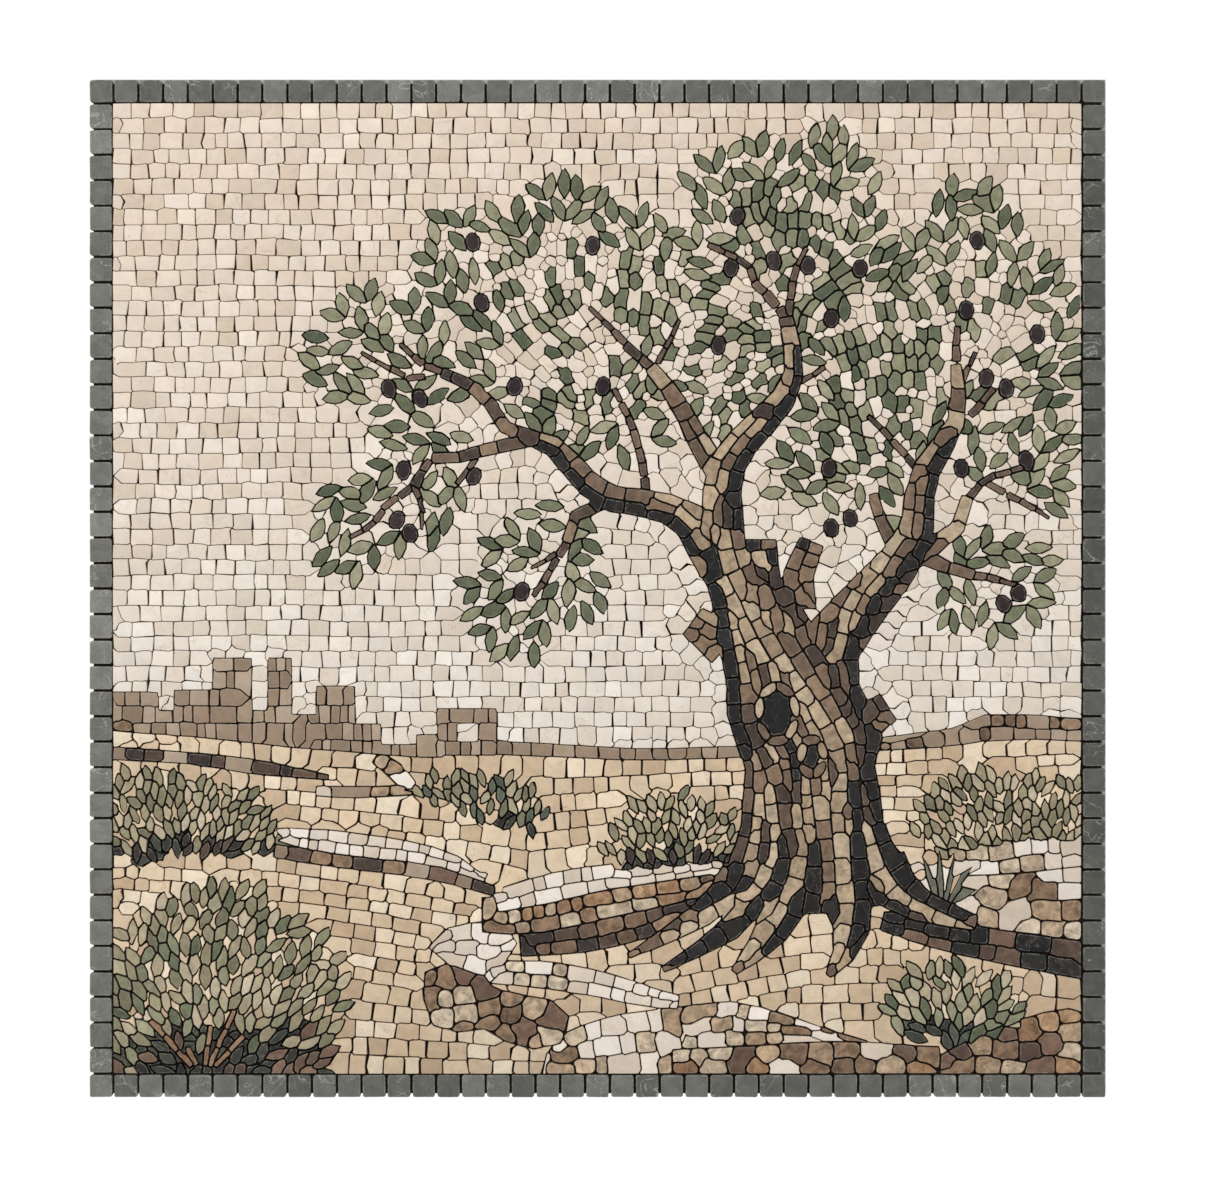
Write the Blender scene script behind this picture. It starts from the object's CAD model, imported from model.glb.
# %% [markdown]
# This lesson dresses a wall panel of hand-cut stone mosaic. The real panel is a thin grey bed with
# a few thousand small stones set into it: a border of dark squared stones, and a picture of an
# olive tree on a dry slope. The frame gives the broad areas. The lesson lays a stone at a time in
# each of them, cuts the stones to fit each other, lifts them off the bed and gives each its finish.

import math
import random

import bpy
import numpy as np
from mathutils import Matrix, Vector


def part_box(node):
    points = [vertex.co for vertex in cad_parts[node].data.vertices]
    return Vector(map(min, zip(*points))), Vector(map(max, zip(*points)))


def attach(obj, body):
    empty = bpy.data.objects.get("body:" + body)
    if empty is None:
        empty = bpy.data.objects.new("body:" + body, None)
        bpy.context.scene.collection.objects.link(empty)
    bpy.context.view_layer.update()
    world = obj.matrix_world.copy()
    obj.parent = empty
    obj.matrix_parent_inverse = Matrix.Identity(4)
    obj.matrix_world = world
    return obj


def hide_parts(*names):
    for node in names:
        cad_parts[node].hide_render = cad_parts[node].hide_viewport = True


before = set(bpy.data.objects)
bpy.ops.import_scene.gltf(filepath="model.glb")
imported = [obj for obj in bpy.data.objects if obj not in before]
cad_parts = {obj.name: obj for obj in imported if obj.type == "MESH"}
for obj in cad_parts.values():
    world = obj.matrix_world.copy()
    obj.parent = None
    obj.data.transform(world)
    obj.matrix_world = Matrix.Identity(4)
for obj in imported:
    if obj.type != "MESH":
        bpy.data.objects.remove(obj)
bpy.context.view_layer.update()
bpy.ops.object.select_all(action="DESELECT")
MM = 0.001
chance = random.Random(11)

# %% [markdown]
# The camera comes first. The panel is seen straight on, so a long lens some way off keeps its
# sides square. The picture's width in real units is the panel's width over the share it fills.

# %% Camera
IMAGE_WIDTH, IMAGE_HEIGHT = 1214, 1197
PANEL_IN_IMAGE = 1016.0  # the border's width in the picture, in its pixels
PANEL_CENTRE = (597.5, 588.5)  # the panel's middle in the picture, in its pixels
LENS = 100.0
SENSOR = 36.0

stone_low, stone_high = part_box("border_top")
pixel = (stone_high[0] - stone_low[0]) / PANEL_IN_IMAGE
camera_x = (IMAGE_WIDTH / 2 - PANEL_CENTRE[0]) * pixel
camera_z = (PANEL_CENTRE[1] - IMAGE_HEIGHT / 2) * pixel
distance = IMAGE_WIDTH * pixel * LENS / SENSOR
bpy.ops.object.camera_add(
    location=(camera_x, stone_low[1] - distance, camera_z), rotation=(math.radians(90), 0, 0)
)
camera = bpy.context.object
camera.name = "camera"
camera.data.lens = LENS
camera.data.sensor_width = SENSOR
bpy.context.scene.camera = camera
print("one pixel is", round(pixel * 1000, 3), "mm, the camera stands", round(distance, 3), "m off")

# %% [markdown]
# The studio is white all round. A broad soft light from the upper left gives every worn edge a
# faint light and a faint dark side, and the white surroundings fill the rest.

# %% Studio
scene = bpy.context.scene
scene.view_settings.view_transform = "Standard"
scene.view_settings.look = "None"

world = bpy.data.worlds.new("studio_white")
scene.world = world
world.use_nodes = True
world.node_tree.nodes["Background"].inputs["Color"].default_value = (1.0, 1.0, 1.0, 1.0)
world.node_tree.nodes["Background"].inputs["Strength"].default_value = 1.0

KEY_PLACE = (-1.1, -1.3, 1.2)
KEY_SIZE = 0.9
KEY_POWER = 9.0
bpy.ops.object.light_add(type="AREA", location=KEY_PLACE)
key_light = bpy.context.object
key_light.name = "key"
key_light.data.shape = "DISK"
key_light.data.size = KEY_SIZE
key_light.data.energy = KEY_POWER
key_light.rotation_euler = key_light.location.to_track_quat("Z", "Y").to_euler()  # at the middle

FLOOR_RADIUS = 1.0
FLOOR_HEIGHT = -0.56
bpy.ops.mesh.primitive_circle_add(
    vertices=96, radius=FLOOR_RADIUS, fill_type="NGON", location=(0, 0, FLOOR_HEIGHT)
)
floor = bpy.context.object
floor.name = "studio_floor"
print("studio ready")

# %% [markdown]
# The picture is worked out on a grid of small cells, as a maker works on squared paper. Each
# area of the frame is filled into the grid from the outline of its front face: along each row,
# every crossing of an outline switches between outside and inside.

# %% Areas of the picture on a grid
CELL = 0.4
BORDER_GAP = 0.4  # between the border's stones and the picture
field_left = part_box("border_left")[1][0] / MM + BORDER_GAP
field_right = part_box("border_right")[0][0] / MM - BORDER_GAP
field_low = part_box("border_bottom")[1][2] / MM + BORDER_GAP
field_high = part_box("border_top")[0][2] / MM - BORDER_GAP
COLUMNS = int((field_right - field_left) / CELL)
ROWS = int((field_high - field_low) / CELL)
x_of = field_left + (np.arange(COLUMNS) + 0.5) * CELL
z_of = field_low + (np.arange(ROWS) + 0.5) * CELL


def outline_segments(obj):
    """The edges of a node's front face, as x and z in millimetres."""
    mesh = obj.data
    points = np.empty(len(mesh.vertices) * 3)
    mesh.vertices.foreach_get("co", points)
    points = points.reshape(-1, 3) / MM
    corners = np.empty(len(mesh.loops), dtype=np.int32)
    mesh.loops.foreach_get("vertex_index", corners)
    triangles = points[corners.reshape(-1, 3)]
    on_front = np.abs(triangles[:, :, 1] - points[:, 1].min()) < 0.01
    walls = on_front.sum(axis=1) == 2
    ends = triangles[walls][on_front[walls]].reshape(-1, 2, 3)
    return ends[:, :, (0, 2)]


def inside_cells(segments):
    """True for each cell of the grid inside these outlines."""
    switch = np.zeros((ROWS, COLUMNS + 1), dtype=np.int16)
    for (x1, z1), (x2, z2) in segments:
        if z1 == z2:
            continue
        crossed = np.nonzero((z_of >= min(z1, z2)) & (z_of < max(z1, z2)))[0]
        x = x1 + (z_of[crossed] - z1) * (x2 - x1) / (z2 - z1)
        column = np.ceil((x - field_left) / CELL - 0.5).astype(int).clip(0, COLUMNS)
        np.add.at(switch, (crossed, column), 1)
    return np.cumsum(switch, axis=1)[:, :COLUMNS] % 2 == 1


print("grid", COLUMNS, "by", ROWS, "cells")

# %% [markdown]
# Some areas are in several nodes, such as the stretches of sky between the boughs. They share a
# name up to its number, and get one number on the grid.

# %% Number the areas
def area_name(node):
    words = node.split("_")
    return "_".join(words[:-1]) if words[-1].isdigit() else node


AREA_NODES = {}
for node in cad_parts:
    if node != "setting_bed" and not node.startswith("border"):
        AREA_NODES.setdefault(area_name(node), []).append(node)
AREAS = sorted(AREA_NODES)
CODE = {name: i for i, name in enumerate(AREAS)}

area = np.full((ROWS, COLUMNS), -1, dtype=np.int16)
for name in AREAS:
    for node in AREA_NODES[name]:
        area[inside_cells(outline_segments(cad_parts[node]))] = CODE[name]
print(len(AREAS), "areas, share of joints", round(float((area < 0).mean()), 3))
# %% [markdown]
# The frame leaves a joint between its areas. On the grid each empty cell goes to a neighbour, so
# that the stones themselves decide where the joints run.

# %% Close the joints between the areas
EMPTY = -1
SIDES = ((0, 1), (0, -1), (1, 1), (1, -1))  # the axis and the step to each neighbour


def neighbours(grid):
    """The four shifted copies of a grid, each cell holding its neighbour's value."""
    for axis, step in SIDES:
        moved = np.roll(grid, step, axis=axis)
        edge = [slice(None), slice(None)]
        edge[axis] = 0 if step == 1 else -1
        moved[tuple(edge)] = EMPTY
        yield moved


def fill_from_neighbours(grid):
    """Gives each empty cell the value of a neighbour, until none is left."""
    while (grid == EMPTY).any():
        before = (grid == EMPTY).sum()
        for moved in neighbours(grid.copy()):
            take = (grid == EMPTY) & (moved != EMPTY)
            grid[take] = moved[take]
        if (grid == EMPTY).sum() == before:
            break
    return grid


area = fill_from_neighbours(area)
print("cells still empty", int((area == EMPTY).sum()))

# %% [markdown]
# Squared stones give a course an even top. Leaves reach down into the pale courses below the
# bushes, so what juts up between them goes to the area above.

# %% Level the pale courses
LEVEL_REACH = 5.0


def level_top(name, reach):
    reach = int(reach / CELL)
    mask = area == CODE[name]
    used = np.nonzero(mask.any(axis=0))[0]
    top = np.array([np.nonzero(mask[:, c])[0].max() for c in used])
    low = np.array([top[max(0, i - reach):i + reach + 1].min() for i in range(len(used))])
    for column, high, even in zip(used, top, low):
        above = area[min(high + 1, ROWS - 1), column]
        rows = np.nonzero(mask[:, column])[0]
        area[rows[rows > even + 2], column] = above


for course in ("wall_top", "ledge_upper", "terrace_right"):
    level_top(course, LEVEL_REACH)
    print(course, "cells", int((area == CODE[course]).sum()))

# %% [markdown]
# Areas that share a plane of stones are cut together: leaves and twigs stand among the sky's
# stones, and bushes among the sand's. Every other area keeps its own outline.

# %% Groups of areas
CROWNS = [a for a in AREAS if a.startswith(("crown", "spray"))]
BUSHES = [a for a in AREAS if a.startswith("bush")] + ["agave"]
TREE = ["trunk"] + [a for a in AREAS if a.startswith("bough")]
GROUP_OF = {a: a for a in AREAS}
GROUP_OF.update({a: "air" for a in ["sky"] + CROWNS})
GROUP_OF.update({a: "ground" for a in ["sand"] + BUSHES})
GROUP_OF.update({a: "tree" for a in TREE})
GROUPS = sorted(set(GROUP_OF.values()))
group_code = np.array([GROUPS.index(GROUP_OF[a]) for a in AREAS])
group = group_code[area].astype(np.int16)
print("groups", GROUPS)

# %% [markdown]
# Nothing cut by hand is quite straight. A slow random field shifts the places that the stones are
# measured from, so their edges wander a little. A slower one gives loose stones a common drift.

# %% Slow random fields
def smooth_noise(size, reach, seed):
    """A slowly changing random field over the grid: its waves are size wide and reach high."""
    wave = np.random.default_rng(seed)
    rows = int(ROWS * CELL / size) + 3
    columns = int(COLUMNS * CELL / size) + 3
    knots = wave.uniform(-reach, reach, (rows, columns))
    r = np.arange(ROWS) * CELL / size
    c = np.arange(COLUMNS) * CELL / size
    r0, c0 = r.astype(int), c.astype(int)
    fr, fc = (r - r0)[:, None], (c - c0)[None, :]
    fr, fc = fr * fr * (3 - 2 * fr), fc * fc * (3 - 2 * fc)
    near, far = knots[r0], knots[r0 + 1]
    low = near[:, c0] * (1 - fc) + near[:, c0 + 1] * fc
    high = far[:, c0] * (1 - fc) + far[:, c0 + 1] * fc
    return (low * (1 - fr) + high * fr).astype(np.float32)


WANDER_SIZE, WANDER = 7, 0.38  # an edge swings by up to this over about this length
SWAY_SIZE = 34
x_worn = (x_of[None, :] + smooth_noise(WANDER_SIZE, WANDER, 1)).astype(np.float32)
z_worn = (z_of[:, None] + smooth_noise(WANDER_SIZE, WANDER, 2)).astype(np.float32)
SWAY = smooth_noise(SWAY_SIZE, 1.0, 3)  # between -1 and 1
print("sway from", round(float(SWAY.min()), 2), "to", round(float(SWAY.max()), 2))

# %% [markdown]
# Points of the design are counted on the paper cartoon, from its upper left corner, and the
# cartoon is stretched over the field. A stone knows its place, its turn, its half length and
# half width, its form and what it is cut from. Its rank says who gives way: twigs and olives
# go in first, then leaves, and the rest fills in.

# %% A stone and the list of stones
CARTOON = (969.0, 973.0)
UNIT = (field_right - field_left) / CARTOON[0]


def on_field(u, v):
    return (
        field_left + u / CARTOON[0] * (field_right - field_left),
        field_high - v / CARTOON[1] * (field_high - field_low),
    )


class Stone:
    def __init__(self, x, z, turn, long, wide, kind, form="squared", rank=0, pull=1.0):
        self.x, self.z, self.turn = x, z, turn
        self.long, self.wide = long, wide
        self.kind, self.form, self.rank, self.pull = kind, form, rank, pull

    def away(self, x, z):
        """How far a point lies from the stone: 1 on its edge, 2 where its like would stand."""
        c, s = math.cos(self.turn), math.sin(self.turn)
        dx, dz = x - self.x, z - self.z
        a = (dx * c + dz * s) / self.long
        b = (dz * c - dx * s) / self.wide
        if self.form in ("squared", "rough"):
            return np.maximum(np.abs(a), np.abs(b))
        if self.form == "leaf":
            return np.abs(b) + a * a
        return np.sqrt(a * a + b * b)


print("one unit of the cartoon is", round(UNIT, 3), "mm")

# %% [markdown]
# A stone is laid only where its middle has room. Stones are kept in buckets by their place, so
# that only the near ones are asked.

# %% Lay a stone
stones = []
BUCKET = 25.0
buckets = {}


def bucket_of(x, z):
    return int(x // BUCKET), int(z // BUCKET)


def cell_of(x, z):
    row = int((z - field_low) / CELL)
    column = int((x - field_left) / CELL)
    return min(max(row, 0), ROWS - 1), min(max(column, 0), COLUMNS - 1)


def area_at(x, z):
    return AREAS[area[cell_of(x, z)]]


def in_field(x, z):
    return field_left < x < field_right and field_low < z < field_high


def near(x, z):
    i, j = bucket_of(x, z)
    for di in (-1, 0, 1):
        for dj in (-1, 0, 1):
            yield from buckets.get((i + di, j + dj), ())


def lay(stone, inside, room=1.3, among=None):
    """Adds a stone if its middle is in one of the areas and no other stone crowds it."""
    if not in_field(stone.x, stone.z):
        return False
    here = area_at(stone.x, stone.z)
    if here not in inside:
        return False
    for other in near(stone.x, stone.z):
        if other.group == GROUP_OF[here] and other.away(stone.x, stone.z) < room:
            return False
        if among and other.group == GROUP_OF[here] and stone.away(other.x, other.z) < among:
            return False
    stone.home = here
    stone.group = GROUP_OF[here]
    stones.append(stone)
    buckets.setdefault(bucket_of(stone.x, stone.z), []).append(stone)
    return True


print("the list of stones is ready")

# %% [markdown]
# A strand is a line of stones along a bough, and a wide bough has several side by side. The
# stations of a bough give its middle and its width, in cartoon units.

# %% Strands of stones along a bough
def smooth_line(stations, step=2.0):
    """Points every few millimetres along a smooth line through the stations, with their width."""
    knots = [(*on_field(s[0], s[1]), s[2] * UNIT) for s in stations]
    knots = [knots[0]] + knots + [knots[-1]]
    line = []
    for p0, p1, p2, p3 in zip(knots, knots[1:], knots[2:], knots[3:]):
        span = math.dist(p1[:2], p2[:2])
        for k in range(max(1, int(span / step))):
            t = k * step / span
            line.append(tuple(
                0.5 * (2 * b + (c - a) * t + (2 * a - 5 * b + 4 * c - d) * t * t
                       + (3 * b - a - 3 * c + d) * t ** 3)
                for a, b, c, d in zip(p0, p1, p2, p3)
            ))
    line.append(knots[-1])
    return line


def strands(stations, inside, lanes, length=12.5, lane_width=6.6, rank=0, room=1.25, pull=1.0):
    """Lays stones along a bough. lanes(across, along) names the stone for each place."""
    line = smooth_line(stations)
    far = 0.0
    rows = {}
    for before, here in zip(line, line[1:]):
        far += math.dist(before[:2], here[:2])
        turn = math.atan2(here[1] - before[1], here[0] - before[0])
        count = max(1, round(here[2] / lane_width))
        for lane in range(count):
            key = (count, lane)
            if far < rows.get(key, -1.0):
                continue
            long = length * chance.uniform(0.8, 1.2)
            if key not in rows:
                rows[key] = far + long * (0.5 + 0.5 * (lane % 2))
                if lane % 2:
                    continue
            rows[key] = far + long
            across = (lane + 0.5) / count
            side = (across - 0.5) * here[2]
            x = here[0] - math.sin(turn) * side
            z = here[1] + math.cos(turn) * side
            half = long / 2 * (1.2 if rank else 1.0)
            wide = here[2] / count / 2
            kind = lanes(across, far)
            lay(Stone(x, z, turn, half, wide, kind, "squared", rank, pull), inside, room)


print("a line through two stations has", len(smooth_line([(0, 0, 9), (50, 0, 9)])), "points")

# %% [markdown]
# The tree. Boughs are shaded as the maker shades them: a dark line of stones along the lower
# side, lighter strips above. A shade is a small function of the place across and along a bough.

# %% Shades of the wood
STRIPS = ["bark_brown", "bark_tan", "bark_dark", "bark_tan", "bark_brown", "black", "bark_tan",
          "bark_brown", "bark_tan", "bark_dark"]


def bough_lanes(across, along):
    """A dark lane on the shaded side, brown and tan ones beside it."""
    if across > 0.66:
        return "black"
    if across > 0.4:
        return chance.choice(["bark_brown", "bark_dark", "bark_brown", "bark_tan"])
    return chance.choice(["bark_tan", "bark_brown", "bark_tan"])


def root_lanes(across, along):
    return ("black", "bark_tan", "bark_brown", "bark_tan", "black")[min(4, int(across * 5))]


def mirrored(lanes):
    return lambda across, along: lanes(1 - across, along)


def mostly(*kinds):
    return lambda across, along: chance.choice(kinds)


BLACK = mostly("black")
DARK = mostly("bark_dark", "bark_dark", "bark_brown")
TAN = mostly("bark_tan", "bark_tan", "bark_pale")
BROWN = mostly("bark_brown", "bark_brown", "bark_tan")
print("strips across the trunk", STRIPS)

# %% [markdown]
# The body of the trunk is made of strands between its two edges. Black stones line both edges,
# and above the knots the strands lean to the left as they climb, which gives the trunk its twist.

# %% The body of the trunk
STRAND_LENGTH = 285  # a stone's length over this is its share of a strand, in millimetres


def trunk_stones(lanes=14, twist=0.3):
    """Strands between the trunk's edges. Above the knots they lean to the left as they climb."""
    left = [(604, 812), (622, 762), (631, 700), (632, 662), (618, 632), (614, 590), (606, 540),
            (600, 500), (594, 455)]
    right = [(806, 790), (784, 750), (768, 700), (763, 660), (766, 632), (750, 592), (746, 555),
             (752, 528), (772, 498), (800, 455)]
    edge_l = smooth_line([(*p, 1) for p in left])
    edge_r = smooth_line([(*p, 1) for p in right])
    for lane in range(lanes + 5):
        t = chance.uniform(0.0, 0.03)
        while t < 1:
            base = (lane + 0.5) / lanes
            across = base - twist * max(0.0, t - 0.35)
            edge = base < 1 / lanes or 1 - 1 / lanes < base < 1
            if edge:
                across = base
            elif base > 1 and across > 1 - 1.2 / lanes:
                t += 0.03
                continue
            if not edge and across < 1.1 / lanes:
                break
            i, j = int(t * (len(edge_l) - 2)), int(t * (len(edge_r) - 2))
            a, b = edge_l[i], edge_r[j]
            c, d = edge_l[i + 1], edge_r[j + 1]
            lean = 0 if edge or t < 0.35 else twist / len(edge_l)
            x = a[0] + (b[0] - a[0]) * across
            z = a[1] + (b[1] - a[1]) * across
            dx = c[0] + (d[0] - c[0]) * (across - lean) - x
            dz = c[1] + (d[1] - c[1]) * (across - lean) - z
            turn = math.atan2(dz, dx)
            wide = math.dist(a[:2], b[:2]) / lanes / 2
            long = chance.uniform(4.8, 7.4)
            strip = STRIPS[lane % len(STRIPS)]
            kind = "black" if edge else strip
            if not edge and chance.random() < 0.2:
                kind = chance.choice(["bark_brown", "bark_tan", "bark_dark"])
            lay(Stone(x, z, turn, long, wide, kind), TREE, 1.2)
            t += 2 * long / STRAND_LENGTH


print("a strand of the trunk counts as", STRAND_LENGTH, "mm")

# %% [markdown]
# The trunk has two hollows: black stones within a ring of long light ones. They are laid first,
# so that the strands flow round them.

# %% Hollows in the trunk
def knot_stones(u, v, round_u, round_v, count):
    """A hollow in the trunk: black stones within a ring of long light ones."""
    x, z = on_field(u, v)
    deep, half = round_v * 0.52 * UNIT, round_u * 0.52 * UNIT
    lay(Stone(x, z, math.radians(75), deep, half, "black", "oval", 1), TREE, 1.0)
    for k in range(count):
        a = 2 * math.pi * (k + 0.3) / count
        rx, rz = round_u * UNIT, round_v * UNIT
        px, pz = x + rx * math.cos(a), z + rz * math.sin(a)
        turn = math.atan2(rz * math.cos(a), -rx * math.sin(a))
        kind = chance.choice(["bark_tan", "bark_pale", "bark_brown"])
        long = math.pi * (rx + rz) / count / 2 * 1.1
        lay(Stone(px, pz, turn, long, 3.0, kind, "oval", 1, 2.0), TREE, 0.8)


knot_stones(664, 612, 18, 27, 7)
knot_stones(699, 655, 11, 17, 5)
print("stones in the hollows", len(stones))

# %% [markdown]
# These are the lines that the eye follows down the trunk and out along the roots, each of them
# one stone wide. They come before the body of the trunk, which then fills in between.

# %% Lines down the trunk
TRUNK_LINES = [
    (BLACK, [(598, 462, 13), (606, 494, 13), (613, 530, 13), (618, 558, 13), (620, 590, 13),
             (624, 622, 13), (637, 655, 12)]),
    (BLACK, [(794, 463, 13), (765, 497, 13), (746, 530, 13), (739, 556, 13), (743, 590, 12)]),
    (BLACK, [(759, 636, 11), (756, 664, 12), (761, 703, 12), (776, 750, 13), (798, 783, 13),
             (836, 806, 12), (866, 818, 8)]),
    (TAN, [(612, 434, 12), (616, 458, 12), (627, 482, 12), (639, 508, 12), (655, 538, 12),
           (671, 563, 12), (687, 588, 12), (704, 612, 12), (719, 637, 12), (727, 664, 12),
           (727, 690, 12), (726, 716, 12), (727, 742, 12), (728, 770, 12), (733, 798, 12),
           (731, 826, 10), (722, 862, 6)]),
    (BROWN, [(624, 434, 11), (630, 456, 12), (643, 478, 12), (655, 504, 12), (671, 532, 12),
             (687, 558, 12), (703, 582, 12), (719, 607, 12), (734, 632, 12), (741, 660, 10)]),
    (TAN, [(612, 484, 11), (624, 510, 12), (638, 540, 12), (654, 566, 11)]),
    (DARK, [(663, 474, 12), (676, 504, 12), (690, 532, 12), (704, 560, 11), (716, 584, 10)]),
    (TAN, [(782, 440, 12), (766, 462, 12), (748, 485, 12), (735, 510, 12), (727, 536, 12),
           (719, 562, 11)]),
    (BROWN, [(768, 436, 12), (752, 460, 12), (735, 482, 12), (720, 506, 12), (711, 530, 11),
             (708, 548, 9)]),
    (BROWN, [(792, 446, 11), (777, 470, 11), (758, 490, 11), (746, 514, 10), (735, 540, 10),
             (731, 566, 10), (733, 590, 10)]),
    (DARK, [(632, 590, 12), (636, 620, 12), (647, 646, 12), (663, 674, 12), (672, 700, 13),
            (676, 730, 13), (689, 760, 13)]),
    (DARK, [(635, 668, 10), (635, 700, 11), (630, 736, 11), (620, 764, 11)]),
    (BROWN, [(646, 676, 10), (646, 702, 11), (643, 734, 11), (632, 770, 11)]),
    (TAN, [(656, 692, 10), (659, 712, 11), (661, 736, 12), (656, 764, 12), (637, 790, 12),
           (606, 808, 11), (574, 824, 10), (544, 841, 8)]),
    (BLACK, [(631, 752, 10), (617, 778, 12), (588, 800, 12), (558, 818, 11), (535, 832, 9),
             (519, 846, 6)]),
    (BLACK, [(669, 742, 11), (667, 768, 12), (656, 792, 13), (632, 816, 13), (604, 836, 12),
             (574, 853, 9), (558, 862, 6)]),
    (TAN, [(682, 712, 11), (688, 740, 12), (684, 770, 12), (674, 796, 12), (657, 822, 12),
           (640, 846, 10), (627, 866, 7)]),
    (BLACK, [(701, 750, 11), (702, 780, 14), (697, 804, 14), (684, 826, 11)]),
    (BROWN, [(703, 680, 11), (709, 712, 12), (713, 744, 12), (715, 776, 12), (712, 806, 12)]),
    (BLACK, [(742, 690, 11), (745, 728, 12), (748, 762, 12), (750, 792, 12), (746, 822, 10),
             (738, 848, 7)]),
    (TAN, [(753, 728, 10), (764, 764, 12), (782, 792, 12), (812, 810, 11), (842, 822, 9),
           (868, 830, 7)]),
]
for lanes, stations in TRUNK_LINES:
    strands(stations, TREE, lanes, 13.0, 9.0, room=1.12)
print("with the trunk's lines", len(stones))

# %% [markdown]
# Boughs run from the trunk outwards and roots from their tips inwards. Stumps are the sawn ends
# of old boughs. What the strands leave of the trunk is filled by its body.

# %% Roots, stumps and boughs
ROOTS = [
    [(516, 855, 4), (564, 829, 17), (604, 802, 28), (626, 772, 34)],
    [(550, 869, 5), (592, 845, 15), (623, 822, 25), (644, 785, 34)],
    [(621, 871, 6), (650, 842, 26), (668, 812, 42), (678, 777, 56)],
    [(716, 875, 6), (736, 843, 28), (738, 812, 42), (726, 777, 56)],
    [(863, 822, 14), (828, 812, 24), (793, 797, 38), (768, 767, 56)],
]
STUMPS = [
    (mostly("bark_brown", "bark_tan"), 10, [(577, 517, 34), (604, 535, 40)]),
    (mostly("bark_brown", "bark_dark"), 10, [(776, 605, 30), (756, 618, 34)]),
    (lambda across, along: "black" if along < 12 else "bark_dark", 9, [(648, 438, 30), (648, 480, 40)]),
    (lambda across, along: "black" if along < 10 else "bark_brown", 10,
     [(699, 438, 24), (687, 467, 28), (683, 497, 38)]),
]
BOUGHS = [
    (mirrored(bough_lanes), [(611, 440, 44), (610, 417, 40), (611, 372, 36), (633, 336, 30),
                             (662, 307, 26), (679, 281, 20), (680, 249, 16), (673, 213, 13)]),
    (bough_lanes, [(603, 455, 42), (594, 442, 40), (573, 415, 34), (543, 403, 27), (492, 394, 25),
                   (463, 369, 23), (444, 346, 20), (411, 333, 14)]),
    (mirrored(bough_lanes), [(776, 472, 40), (802, 435, 34), (808, 387, 28), (821, 354, 24),
                             (840, 331, 18), (846, 291, 13), (843, 258, 10)]),
    (mostly("bark_brown", "bark_tan", "bark_brown"),
     [(612, 380, 24), (594, 353, 22), (578, 325, 18), (563, 296, 15), (538, 265, 12)]),
    (mostly("bark_dark", "bark_brown"), [(418, 335, 13), (394, 327, 12), (381, 306, 11), (350, 278, 10),
                                         (329, 270, 9), (310, 263, 8)]),
    (mostly("bark_dark", "bark_brown"), [(418, 337, 13), (371, 348, 11), (345, 355, 10), (319, 356, 9)]),
    (mostly("bark_dark", "bark_brown"), [(488, 402, 12), (460, 416, 10), (454, 440, 9)]),
    (mostly("bark_brown", "bark_tan"), [(793, 459, 26), (818, 445, 18), (843, 429, 14), (855, 395, 11)]),
    (mostly("bark_brown"), [(803, 452, 15), (828, 463, 12), (861, 473, 9)]),
    (mostly("bark_brown"), [(782, 446, 13), (766, 414, 10), (760, 392, 9)]),
]
STUMP_LANE = 8
for stations in ROOTS:
    strands(stations, TREE, root_lanes)
for lanes, length, stations in STUMPS:
    strands(stations, TREE, lanes, length, STUMP_LANE)
for lanes, stations in BOUGHS:
    strands(stations, TREE, lanes)
trunk_stones()
print("wood stones", len(stones))

# %% [markdown]
# Twigs are one stone wide. Each starts a little inside the wood, so that no cream stone parts it
# from its bough, and thins out towards its tip.

# %% Twigs among the leaves
TWIGS = [
    [(340, 275, 7), (326, 269, 7), (310, 262, 7), (292, 246, 5)],
    [(322, 268, 7), (303, 275, 7), (279, 267, 6), (248, 250, 4)],
    [(330, 352, 9), (319, 357, 9), (298, 385, 9), (277, 401, 8), (259, 422, 7), (240, 434, 5)],
    [(372, 345, 6), (365, 354, 6), (350, 374, 6), (340, 386, 4)],
    [(301, 388, 5), (308, 404, 5), (309, 418, 4)],
    [(457, 430, 9), (454, 440, 9), (434, 474, 8), (418, 497, 5)],
    [(452, 445, 6), (438, 455, 6), (426, 462, 4)],
    [(548, 275, 11), (538, 265, 11), (520, 249, 10), (500, 228, 7), (484, 212, 5)],
    [(541, 268, 7), (552, 246, 6), (562, 226, 5)],
    [(535, 402, 10), (533, 389, 10), (529, 360, 9), (519, 324, 8), (508, 300, 7), (500, 284, 5)],
    [(676, 228, 12), (673, 216, 12), (658, 197, 11), (643, 181, 9), (633, 162, 8), (604, 147, 6)],
    [(674, 224, 10), (678, 192, 9), (682, 171, 8), (690, 152, 5)],
    [(676, 288, 6), (688, 279, 6), (700, 272, 6), (716, 262, 4)],
    [(843, 272, 10), (843, 260, 10), (843, 242, 9), (845, 222, 6)],
    [(836, 330, 9), (846, 322, 9), (863, 307, 9), (884, 281, 6)],
    [(846, 290, 6), (852, 272, 6), (858, 260, 6), (864, 246, 4)],
    [(850, 408, 9), (855, 397, 9), (872, 379, 8), (890, 371, 7), (908, 365, 5)],
    [(864, 386, 8), (872, 381, 8), (898, 394, 8), (929, 412, 5)],
    [(850, 470, 9), (861, 473, 9), (880, 477, 8), (900, 482, 5)],
    [(800, 362, 8), (786, 346, 8), (770, 329, 7), (754, 313, 5)],
]
TWIG_WIDTH = 0.88
for twig in TWIGS:
    thin = [(u, v, TWIG_WIDTH * width) for u, v, width in twig]
    strands(thin, ["sky"] + CROWNS, mostly("twig", "twig", "bark_dark"), 9, 9.0, 2, 0.8, 5.0)
print("with twigs", len(stones))

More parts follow.
